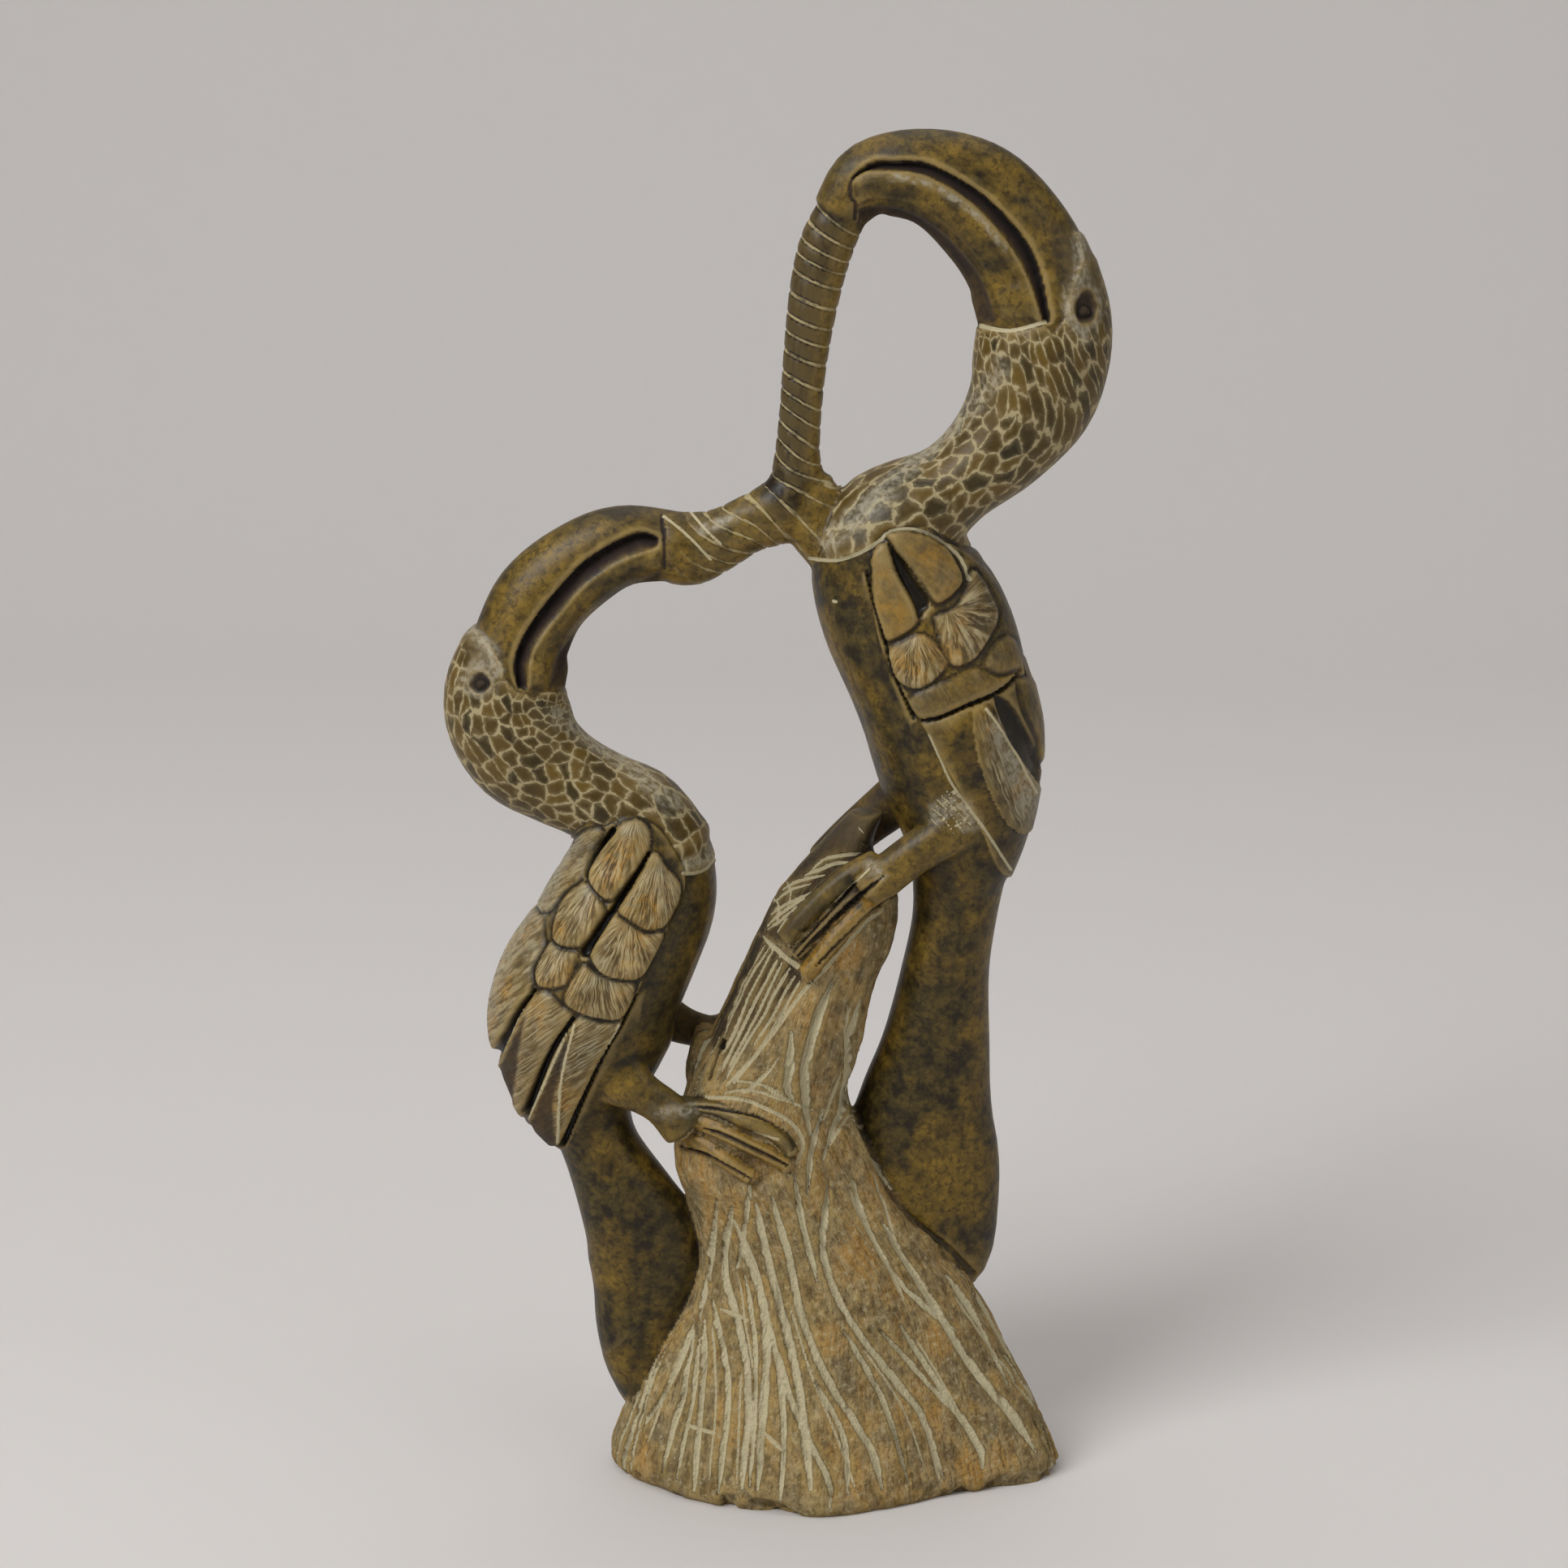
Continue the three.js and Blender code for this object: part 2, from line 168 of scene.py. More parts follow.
LOW_BIRD = {
    "beak": [
        (-44, 281.5, 9.8, 7.5), (-62, 281.8, 11.7, 9), (-75, 275.6, 12.9, 10), (-86, 265.7, 13.7, 11),
        (-92, 253, 13.9, 12), (-95, 243, 14.5, 13), (-95.5, 235, 14.5, 13),
    ],
    "neck": [
        (-93, 250.5, 15.6, 12.8), (-96.3, 239, 17.2, 14.2), (-95.2, 230, 17.6, 15),
        (-90, 220.8, 16.6, 15.2), (-81, 213.8, 14.1, 14.4), (-70, 207.7, 13.3, 14.6),
        (-61.5, 200.8, 17, 17), (-57.5, 191.5, 20.5, 19.8),
    ],
    "body": [
        (-58, 197, 17.5, 17), (-57.3, 188, 21.2, 20.5), (-58.8, 177.6, 23.2, 22.5), (-63, 168, 24.2, 24),
        (-68, 158, 25.2, 24.5), (-72.8, 148.5, 26.4, 24.5), (-75.3, 137.6, 26.6, 22.5),
        (-76.4, 127, 23.5, 19.5), (-76.6, 117, 18.4, 15.5), (-74, 107.5, 13.2, 12),
    ],
    "tail": [
        (-74, 112, 12.5, 12, 0), (-70.3, 100.5, 11.6, 11.5, 0), (-62.8, 84, 14.8, 12, 0),
        (-58.2, 73, 17.4, 12, 1), (-56.7, 64, 17.8, 12, 2), (-57.4, 54, 16, 11.5, 2),
        (-58.9, 44, 13.9, 11, 2), (-59.3, 34, 11.2, 10, 2), (-57.5, 24, 8.6, 9, 2),
    ],
    "near leg": [
        (-70, 130, 11, 8, -8), (-63.8, 126.4, 9.2, 6.4, -13), (-57.6, 122.4, 6.4, 4.8, -15.5),
        (-51.3, 118, 5.9, 4.6, -15.5), (-45.4, 111.5, 6.9, 4.4, -15),
    ],
    "far leg": [
        (-62, 143, 10, 8, 10), (-50.5, 136, 6.8, 4.6, 13.5), (-43, 133.2, 5.4, 4.2, 12.5),
        (-33, 131, 4.6, 4, 13),
    ],
}
for bird_name, bird in (("tall", TALL_BIRD), ("low", LOW_BIRD)):
    for part, stations in bird.items():
        limbs[f"{bird_name} {part}"] = stations
        rough_out(f"{bird_name} {part}", stations)


# The feet
# Three long toes to a foot lie flat on the stump and clasp it. They are drawn on a sheet that stands in
# the middle plane of the stone, seen from the front as in the picture, and are moved out to their depth.

EYE_POINT = np.array([-16.0, -1164.4, 501.7])
TOE_HALF_HEIGHT = 3.3
LEAST_DEPTH = 13
FEET = {
    "tall near": [
        (3.3, [(10.5, 188.5), (3, 184), (-4.5, 177.5), (-11, 170.5), (-15, 165)]),
        (1.7, [(12, 186), (4.5, 178.5), (-2, 172), (-8, 165.5), (-12, 160.5)]),
        (2.8, [(18, 184), (11, 178), (4.5, 171), (-2, 164.5), (-7, 158), (-9.5, 155)]),
    ],
    "tall far": [
        (3.0, [(5, 187), (-8, 176), (-18, 164.5)]), (3.0, [(7, 184), (-4, 171.5), (-13.5, 158)]),
        (3.0, [(9, 181), (1, 168), (-7, 154.5)]),
    ],
    "low near": [
        (2.3, [(-46, 114), (-37, 114), (-30, 112.5), (-22.5, 110), (-17, 106.5), (-14.5, 102.5)]),
        (2.7, [(-45, 110), (-35, 108), (-27.5, 105), (-20.5, 102), (-15, 98.5)]),
        (2.8, [(-51, 108), (-43.5, 104), (-37, 101), (-31, 98), (-25.5, 94.5)]),
    ],
    "low far": [
        (2.8, [(-38, 130), (-24, 132), (-8, 131.5)]), (2.8, [(-39, 127), (-24, 124.5), (-7, 121.5)]),
        (2.8, [(-40, 123.5), (-27, 117.5), (-13, 112)]),
    ],
}


def off_sheet(x, z, depth):
    """The place at a depth from the middle plane that shows at x, z on the sheet."""
    shrink = 1 + depth / EYE_POINT[1]
    return EYE_POINT[0] + (x - EYE_POINT[0]) * shrink, EYE_POINT[2] + (z - EYE_POINT[2]) * shrink


for foot, toes in FEET.items():
    side = -1 if "near" in foot else 1
    for toe, (half_width, line) in enumerate(toes):
        stations = []
        for x, z in line:
            x, z = off_sheet(x, z, LEAST_DEPTH)
            middle, wide, deep = stump_at(z)
            depth = max(LEAST_DEPTH, deep * math.sqrt(1 - min(0.97, abs((x - middle) / wide)) ** 2))
            stations.append((x, z, half_width, TOE_HALF_HEIGHT, side * depth))
        limbs[f"{foot} toe {toe}"] = stations
        rough_out(f"{foot} toe {toe}", stations, around=16)


# The worm
# It hangs from the tall bird's beak tip and bends over to the low bird's, thickest at the bend.

WORM = [
    (2, 380, 7, 6), (-3.5, 369, 7.8, 6.3), (-7, 356, 7.4, 6.3), (-9.7, 338, 6.5, 6),
    (-11.2, 322, 6.1, 5.8), (-12.2, 308, 6.6, 6), (-12.5, 299, 8.5, 6.8), (-16, 292.5, 9.6, 7.4),
    (-26, 288, 8.3, 7), (-34, 283.7, 9, 7), (-42, 281, 10.8, 7.5), (-48, 280.8, 10.3, 7.5),
]
WORM_ROOT = [(-9.5, 299, 8, 6.6), (-6.5, 290.5, 10.5, 8.5), (-0.5, 284, 11.5, 10)]
limbs["worm"] = WORM
limbs["worm root"] = WORM_ROOT
rough_out("worm", WORM, spacing=2.5)
rough_out("worm root", WORM_ROOT)


# One stone
# The limbs are one piece of stone, so they are joined and their meeting edges are rubbed to soft
# hollows. The work after this is carving into that blank.

GRAIN = 0.7
for limb in bpy.data.objects:
    limb.select_set(limb.name in limbs)
stone = bpy.data.objects["stump"]
bpy.context.view_layer.objects.active = stone
bpy.ops.object.join()
stone.name = stone.data.name = "carved_hornbills"
blank = stone.modifiers.new("one skin", "REMESH")
blank.mode = "VOXEL"
blank.voxel_size = GRAIN * MM
bpy.ops.object.modifier_apply(modifier=blank.name)
rubbed = stone.modifiers.new("rubbed hollows", "SMOOTH")
rubbed.factor = 0.5
rubbed.iterations = 12
bpy.ops.object.modifier_apply(modifier=rubbed.name)

# a pocket shut in under a toe is solid stone, so only the outer skin stays
bpy.ops.object.mode_set(mode="EDIT")
bpy.ops.mesh.select_all(action="DESELECT")
bpy.ops.object.mode_set(mode="OBJECT")
heights = np.array([vertex.co.z for vertex in stone.data.vertices])
stone.data.vertices[int(heights.argmax())].select = True
bpy.ops.object.mode_set(mode="EDIT")
bpy.ops.mesh.select_linked()
bpy.ops.mesh.select_all(action="INVERT")
bpy.ops.mesh.delete(type="VERT")
bpy.ops.object.mode_set(mode="OBJECT")


# The drawing on the stone
# Details are drawn on the same sheet as the feet. Each point of the skin looks up its place on it, and
# the far face uses it mirrored, so that both faces are carved alike, except for the toe slits, the worm's
# ochre and shaded side, and the stump's front strokes, scratches, pits, stains and flare, which are on the
# near face only.

STUMP_TOP = 205
NOT_NEAR = 9.0


def on_sheet(points):
    """Where each point (x, y, z) shows on the sheet, as (x, z)."""
    grow = (EYE_POINT[1] / (EYE_POINT[1] + np.abs(points[:, 1])))[:, None]
    return EYE_POINT[[0, 2]] + (points[:, [0, 2]] - EYE_POINT[[0, 2]]) * grow


def away_from(line, sheet, reach=8.0):
    """How far each sheet point lies from a drawn line, up to `reach`."""
    line = np.asarray(line, float)
    away = np.full(len(sheet), reach)
    near = np.flatnonzero(np.all((sheet > line.min(0) - reach) & (sheet < line.max(0) + reach), axis=1))
    spots = sheet[near]
    for start, end in zip(line, line[1:]):
        course = end - start
        part = np.clip((spots - start) @ course / max(course @ course, 1e-9), 0, 1)
        away[near] = np.minimum(away[near], np.hypot(*(spots - start - part[:, None] * course).T))
    return away


def inside(outline, sheet, reach=12.0, rounded=True):
    """How deep each sheet point lies inside a closed outline; negative outside."""
    ring = [tuple(p) for p in outline]
    if rounded:
        turns = smooth_rows(ring[-2:] + ring + ring[:2], 2.0)
        first = np.hypot(*(turns - ring[0]).T).argmin()
        last = len(turns) - 1 - np.hypot(*(turns[::-1] - ring[0]).T).argmin()
        ring = turns[first : last + 1]
    ring = np.vstack([ring, ring[:1]])
    depth = -away_from(ring, sheet, reach)
    near = np.flatnonzero(np.all((sheet > ring.min(0)) & (sheet < ring.max(0)), axis=1))
    x, z = sheet[near].T
    within = np.zeros(len(near), bool)
    for (x0, z0), (x1, z1) in zip(ring, ring[1:]):
        if z0 != z1:
            within ^= ((z0 > z) != (z1 > z)) & (x < x0 + (z - z0) * (x1 - x0) / (z1 - z0))
    depth[near[within]] *= -1
    return depth


def ease(value, low, high):
    """0 at `low`, 1 at `high`, with a smooth change between them."""
    t = np.clip((value - low) / (high - low), 0, 1)
    return t * t * (3 - 2 * t)


def filled(outlines, sheet, low, high):
    """1 inside any of the outlines, easing in from `low` to `high` mm past the edge."""
    area = np.zeros(len(sheet))
    for outline in outlines:
        np.maximum(area, ease(inside(outline, sheet, 6.0), low, high), out=area)
    return area


def line_mark(half_width, line, sheet, tail=0.0):
    """1 on a stroke's middle, 0.5 at its edge, 0 at twice that; it thins out over `tail` mm at its ends."""
    curve = smooth_rows(line, 2.0) if len(line) > 2 else np.array(line, float)
    away = away_from(curve, sheet, 6.0)
    if tail:
        ends = np.minimum(*(np.hypot(*(sheet - end).T) for end in (curve[0], curve[-1])))
        half_width = half_width * (0.4 + 0.6 * ease(ends, 0, tail))
    return np.clip(1 - 0.5 * away / half_width, 0, 1)


def strokes_mark(strokes, sheet, tail=0.0):
    """The strongest mark at each point of many strokes, each a half width and a line."""
    strongest = np.zeros(len(sheet))
    for half_width, line in strokes:
        np.maximum(strongest, line_mark(half_width, line, sheet, tail), out=strongest)
    return strongest


def cut(mark):
    """How far a mark is cut: nothing outside its edge, and full depth from half way in."""
    return ease(mark, 0.38, 0.72)


def along(stations, points, reach=1.6):
    """For points near a limb: arc length, height above and depth beside its axis, and 1.0 at its skin."""
    rows = smooth_rows([(*station, 0)[:5] for station in stations], 2.5)
    length = np.r_[0, np.cumsum(np.hypot(*np.diff(rows[:, :2], axis=0).T))]
    low = rows[:, :2].min(0) - reach * rows[:, 2].max()
    high = rows[:, :2].max(0) + reach * rows[:, 2].max()
    near = np.flatnonzero(np.all((points[:, [0, 2]] > low) & (points[:, [0, 2]] < high), axis=1))
    spots = points[near]
    best = np.full(len(near), np.inf)
    found = np.zeros((4, len(near)))
    for i, (start, end) in enumerate(zip(rows, rows[1:])):
        course = end[:2] - start[:2]
        free = (spots[:, [0, 2]] - start[:2]) @ course / (course @ course)
        part = np.clip(free, 0, 1)
        beyond = np.minimum(free, 0) * (i == 0) + np.maximum(free - 1, 0) * (i == len(rows) - 2)
        x, z, wide, deep, y = start[:, None] + part * (end - start)[:, None]
        gap = np.hypot(spots[:, 0] - x, spots[:, 2] - z)
        closer = gap < best
        best[closer] = gap[closer]
        side = np.sign(course[1] * (spots[:, 0] - x) - course[0] * (spots[:, 2] - z))
        across = spots[:, 1] - y
        reached = length[i] + (part + beyond) * np.hypot(*course)
        values = reached, side * gap, across, np.hypot(gap / wide, across / deep)
        for row, value in zip(found, values):
            row[closer] = value[closer]
    out = np.zeros((4, len(points)))
    out[3] = NOT_NEAR
    out[:, near] = found
    return out


def look_over(points):
    """What the carver needs to know of each point: its place on the sheet, and the limb that it is on."""
    face = SimpleNamespace(points=points, sheet=on_sheet(points), near=points[:, 1] < 0)
    face.courses = {name: along(stations, points) for name, stations in limbs.items() if name != "stump"}
    face.middle, face.wide, face.deep = stump_at(points[:, 2])
    fits = {name: course[3] for name, course in face.courses.items()}
    fits["stump"] = np.hypot((points[:, 0] - face.middle) / face.wide, points[:, 1] / face.deep)
    fits["stump"][points[:, 2] > STUMP_TOP] = NOT_NEAR
    face.names = list(fits)
    skins = np.array(list(fits.values()))
    face.owner = np.where(skins.min(axis=0) < NOT_NEAR, np.argmin(np.abs(skins - 1), axis=0), 0)
    return face


def owned(face, *words):
    """Which points are on a limb that has one of the words in its name."""
    wanted = [i for i, name in enumerate(face.names) if any(word in name for word in words)]
    return np.isin(face.owner, wanted)


def crumple(points, size, seed):
    """Smooth random heights from -1 to 1 over the points, with lumps `size` mm across."""
    spots = points / size + seed * 17.3
    cell = np.floor(spots).astype(np.int64)
    part = spots - cell
    part = part * part * (3 - 2 * part)
    total = np.zeros(len(points))
    for corner in np.ndindex(2, 2, 2):
        key = (cell + corner) @ np.array([73856093, 19349663, 83492791])
        key = (key ^ (key >> 13)) * 1274126177 & 0x7FFFFFFF
        weight = np.prod(np.where(corner, part, 1 - part), axis=1)
        total += weight * (key / 0x3FFFFFFF - 1)
    return total


# Wings
# A wing is a low raised field on each flank. Its feathers overlap like tiles, with dark slits cut
# between them, fine barbs scratched across them, and long flight feathers at the tip.

WINGS = [
    [
        (9.5, 280), (13, 285.5), (23, 287.5), (29, 284), (42, 274), (56, 256), (68, 240), (72, 222),
        (67, 204), (49.5, 183.5), (40, 200), (30, 218), (25, 227.5), (20, 235.5), (15, 244.5), (11, 256),
        (9, 270),
    ],
    [
        (-75, 199), (-68, 199), (-61.5, 202), (-57, 201), (-52, 197.5), (-46.5, 188.5), (-45, 183.5),
        (-46, 177), (-50, 168), (-54, 159.5), (-57, 153), (-59.5, 147.5), (-63.5, 139), (-68.5, 130.5),
        (-76, 114.5), (-81.5, 100), (-95, 102), (-112, 130), (-108, 158), (-90, 182),
    ],
]
WING_STEP = 1.1
# Each kind of feather: the spacing of its barbs, how much they run across and along it, and how
# strongly its barbs, its pale plume and its ochre show
FEATHER_KINDS = {
    "smooth": (1.1, 1, 0, 0.08, 0.5, 0.9),
    "plain": (1.1, 1, 0, 0.12, 0.15, 0.3),
    "comb": (0.8, 0.8, 0.6, 0.7, 0.85, 0),
    "long": (1.0, 1, 0.25, 0.6, 0.9, 0),
    "hatch": (0.8, 0, 0, 0.8, 0.8, 0),
    "fringe": (1.1, 0, 0, 0.85, 1.0, 0),
}
HATCH_COURSE = np.array([0.94, 0.34])
LOW_FRINGE_SPACING = 0.72
# Feathers from the lowest layer up: kind, bird, height of the layer, root point, outline. The hatched
# one has no edge of its own, only close scratches that fade out.
FEATHERS = [
    ("hatch", 0, 0.01, (42, 240), [
        (38, 233.5), (42.5, 234.5), (48.5, 223.5), (55, 214), (57.5, 207.5), (54, 197.5), (49, 199),
        (43.5, 208.5), (39.5, 220.5),
    ]),
    ("plain", 0, 0.5, (50, 250), [
        (50.5, 243.5), (52, 234), (55.5, 226), (58.5, 216), (66, 221), (63, 233), (56, 246), (53, 250),
    ]),
    ("plain", 0, 0.7, (45, 256), [
        (40.5, 246.5), (45, 254.5), (49.5, 254.5), (53, 243.5), (50.5, 242.5), (45, 239.5),
    ]),
    ("plain", 0, 0.6, (30, 250), [
        (20, 237), (27, 241), (32.5, 243.5), (39, 246.5), (45, 243.5), (50.5, 245), (50.5, 242.5),
        (45, 238.5), (36, 234.5), (29.5, 231.5), (24, 230.5),
    ]),
    ("fringe", 0, 1.0, (22, 256), [
        (14, 251.5), (19, 254.5), (24.5, 256), (30, 250), (31, 246.5), (26.5, 241), (21.5, 239.5),
        (17, 242), (14.5, 246),
    ]),
    ("fringe", 0, 1.2, (32, 262), [
        (27, 261), (32.5, 263.5), (35.5, 269), (37, 274.5), (40, 272), (44, 265), (45, 260), (42.5, 254),
        (38.5, 248), (32.5, 246), (29.5, 251.5), (28, 256),
    ]),
    ("smooth", 0, 1.5, (13, 283), [
        (9.5, 280), (13.5, 283), (16.5, 273.5), (22.5, 262.5), (22, 258), (16, 254), (13, 254.5),
        (10.5, 262.5), (9.5, 272),
    ]),
    ("smooth", 0, 1.7, (16, 284), [
        (13.5, 285.5), (23, 285.5), (28.5, 282.5), (34.5, 273.5), (34, 269), (29, 264.5), (26, 265.5),
        (21.5, 273), (15, 281.5),
    ]),
    ("long", 1, 0.3, (-76, 184), [
        (-75, 188.5), (-82.5, 178), (-85.5, 170.5), (-85.5, 162), (-89, 155.5), (-89.5, 148.5),
        (-100, 127), (-108, 128), (-110, 145), (-100, 165), (-88.5, 180), (-79, 191.5),
    ]),
    ("comb", 1, 0.5, (-84, 150), [
        (-89, 148), (-84.5, 148), (-80.5, 144), (-78, 140.5), (-91, 113), (-93, 108), (-99, 118),
        (-100, 127),
    ]),
    ("comb", 1, 0.7, (-68, 148), [
        (-78, 140), (-70, 139.5), (-63.5, 140), (-68.5, 130.5), (-76, 114.5), (-81.5, 101.5),
        (-87.5, 102), (-91, 113),
    ]),
    ("long", 1, 0.6, (-68, 197), [
        (-68, 197.5), (-71, 191.5), (-74.5, 182.5), (-79, 178.5), (-84, 172), (-88, 174), (-83, 186),
        (-77, 195), (-72.5, 198.5),
    ]),
    ("fringe", 1, 0.9, (-79, 165), [
        (-83.5, 164), (-86.5, 159.5), (-89, 154), (-88, 150), (-84.5, 149), (-79.5, 150.5), (-77, 156.5),
        (-76, 160.5), (-81, 161.5),
    ]),
    ("fringe", 1, 1.0, (-70, 160), [
        (-74.5, 157), (-70.5, 154), (-63.5, 152), (-60, 151.5), (-61, 145), (-64.5, 140), (-70, 140),
        (-75.5, 141.5), (-80.5, 145), (-78.5, 151.5),
    ]),
    ("fringe", 1, 1.3, (-61, 170), [
        (-65, 173), (-61, 169.5), (-57, 166.5), (-51.5, 167), (-54, 159.5), (-58, 153), (-63.5, 152),
        (-70, 154), (-73, 160.5), (-69, 167),
    ]),
    ("fringe", 1, 1.4, (-70, 182), [
        (-73, 182), (-78.5, 178), (-82.5, 170.5), (-83.5, 164.5), (-81, 162), (-76, 161.5), (-73, 164),
        (-68, 173), (-70.5, 178),
    ]),
    ("fringe", 1, 1.6, (-53, 190), [
        (-54.5, 191), (-50, 186), (-46.5, 180.5), (-48.5, 173), (-51.5, 168), (-57, 167), (-61, 169.5),
        (-65, 173.5), (-60, 181),
    ]),
    ("fringe", 1, 1.8, (-60, 200), [
        (-64.5, 198.5), (-61.5, 200.5), (-57.5, 200.5), (-55, 196.5), (-55.5, 191), (-60, 183.5),
        (-65.5, 176), (-68, 176), (-72, 180.5), (-72.5, 184.5), (-69.5, 190),
    ]),
]
FEATHER_RISE = 0.55
FEATHER_SWELL = 0.75
SEAM_DEPTH = 0.9
# Slits between feathers: half width at both ends, then the line
SLITS = [
    (0.5, 1.0, [(-55.5, 190.5), (-60, 182.5), (-65, 174.5)]),
    (1.0, 1.5, [(-65, 174.5), (-69.5, 168), (-74, 160.5)]),
    (1.0, 0.5, [(-65.5, 197.5), (-69.5, 191.5), (-72.5, 186), (-73, 182)]),
    (0.5, 1.5, [(-89, 149), (-94, 141.5), (-101, 127)]),
    (0.6, 1.3, [(-78, 140.5), (-84.5, 130), (-91.5, 112.5)]),
    (0.4, 0.7, [(24, 230.5), (29.5, 231.5), (36, 234.5), (45, 238.5), (50.5, 243.5)]),
    (0.35, 0.5, [(7.5, 274.5), (9.5, 266), (11.5, 260), (13.5, 253.5), (15.5, 245), (21.5, 231)]),
    (0.45, 0.9, [(-59.5, 147.5), (-63.5, 139), (-68.5, 130.5), (-76, 114.5), (-81.5, 101.5)]),
]
SLIT_DEPTH = 2.2
WEDGES = [
    [(13.5, 284), (16, 280), (25.5, 265.5), (24.5, 262.5), (22.5, 260), (21.5, 264), (16, 275)],
    [(44, 237.5), (48.5, 236), (55, 225.5), (60, 214), (60, 207), (55, 214.5), (48.5, 225)],
]
WEDGE_DEPTH = 1.9
SHAFTS = [
    [(-92, 143.5), (-100.5, 125.5)], [(-79.5, 137.5), (-91, 109.5)],
    [(-77.5, 139), (-81.5, 122), (-82.5, 103)], [(41.5, 234), (48.5, 223.5), (55.5, 209.5)],
    [(-65, 139), (-70, 128.5), (-78.5, 110)],
]
SHAFT_HALF_WIDTH = 0.38
SHAFT_RISE = 0.5
# Strips beside two of the low bird's flight-feather shafts, sunk a little and given painted shadow
SHADOW_STRIPS = [
    [(-91.5, 141.5), (-92.5, 134), (-94, 122), (-95.5, 113), (-100, 118), (-99, 126)],
    [(-79, 136.5), (-81.5, 124), (-83.5, 114), (-83, 100), (-90, 104), (-90, 110)],
]
SHADOW_STRIP_DEPTH = 0.7


def wing_depth(face):
    """How deep each point lies inside the wing of the bird that it is on; negative outside."""
    wing = np.full(len(face.points), -12.0)
    for bird, outline in zip(("tall", "low"), WINGS):
        field = inside(outline, face.sheet)
        field[~owned(face, f"{bird} body", f"{bird} neck")] = -12
        wing = np.maximum(wing, field)
    return wing


def carve_wings(face, work):
    sheet = face.sheet
    work.height += WING_STEP * ease(face.wing, -0.4, 0.6)
    on_wing = face.wing > -0.5
    edge = np.full(len(sheet), 8.0)
    layer, tip, plume, barbed = np.zeros((4, len(sheet)))
    barb = np.zeros((len(sheet), 3))
    for number, (kind, bird, lift, root, outline) in enumerate(FEATHERS):
        spacing, slant_across, slant_along, barb_share, plume_share, ochre_share = FEATHER_KINDS[kind]
        depth = inside(outline, sheet, reach=8.0)
        depth[~on_wing] = -8
        covered = depth > 0
        if kind != "hatch":
            edge = np.where(covered, depth, np.minimum(edge, -depth))
        layer[covered] = lift
        heart = np.mean(outline, axis=0) - root
        length = np.hypot(*heart)
        course = heart / length
        reach = sheet[covered] - root
        forward, beside = reach @ course, reach @ np.array([-course[1], course[0]])
        tip[covered] = np.clip(0.5 * forward / length, 0, 1)
        if kind == "fringe":
            spacing *= LOW_FRINGE_SPACING if bird else 1
            barb[covered, 0] = np.arctan2(beside, forward + 2) * 1.5 * length / spacing
        elif kind == "hatch":
            barb[covered, 0] = reach @ HATCH_COURSE / spacing
        else:
            barb[covered, 0] = (slant_across * beside + slant_along * forward) / spacing
        barb[covered, 1] = forward
        barb[covered, 2] = 7.0 * number
        barbed[covered] = barb_share
        plume[covered] = plume_share
        if kind == "hatch":
            barbed[covered] *= ease(depth[covered], 0, 4)
            plume[covered] *= ease(depth[covered], 0, 5)
        work.ochre[covered] = bird * tip[covered] if kind == "fringe" else ochre_share
    feathered = on_wing & (layer > 0)
    work.height += np.where(feathered, FEATHER_RISE * layer + FEATHER_SWELL * ease(edge, 0, 4.0), 0)
    seam = (1 - ease(edge, 0.25, 1.05)) * (0.45 + 0.55 * ease(tip, 0.45, 0.8)) * on_wing
    work.height -= SEAM_DEPTH * seam
    slit = np.zeros(len(sheet))
    for start_width, end_width, line in SLITS:
        course = np.subtract(line[-1], line[0])
        part = np.clip((sheet - line[0]) @ course / (course @ course), 0, 1)
        half_width = start_width + part * (end_width - start_width)
        slit = np.maximum(slit, cut(line_mark(half_width, line, sheet)))
    slit *= face.wing > -2
    wedge = filled(WEDGES, sheet, -0.2, 0.8)
    wedge *= on_wing * ease(np.abs(face.points[:, 1]), 3, 9)
    shadow = filled(SHADOW_STRIPS, sheet, -0.6, 1.2) * on_wing
    work.height -= SLIT_DEPTH * slit + WEDGE_DEPTH * wedge + SHADOW_STRIP_DEPTH * shadow
    # near black in the seams, slits and wedges, partly grime and partly painted shade, and painted shadow
    # on the shadow strips
    for mark in (0.9 * seam, slit, 0.85 * wedge):
        np.maximum(work.dark, mark, out=work.dark)
    np.maximum(work.dusk, 0.75 * shadow, out=work.dusk)
    shaft = strokes_mark([(SHAFT_HALF_WIDTH, line) for line in SHAFTS], sheet) * on_wing * (1 - slit)
    work.height += SHAFT_RISE * cut(shaft)
    work.fine |= on_wing & ((np.abs(edge) < 1.2) | (slit > 0) | (shaft > 0))
    np.maximum(work.pale, shaft, out=work.pale)
    plain = feathered * (1 - slit) * (1 - wedge) * (1 - 0.7 * shadow)
    work.marks["barb"] = barb
    work.marks["barbed"] = barbed * ease(edge, 0.2, 0.9) * plain
    work.marks["plume"] = plume * ease(edge, -0.2, 0.6) * plain


# Beaks, scaled skin and eyes
# A crescent is cut deep along each beak between its two halves, steep under the upper half and sloping
# out on to the lower. The underside of the beak is cut back, the skin of head and neck stands a little
# proud, and each eye is a ball in a cut hollow.

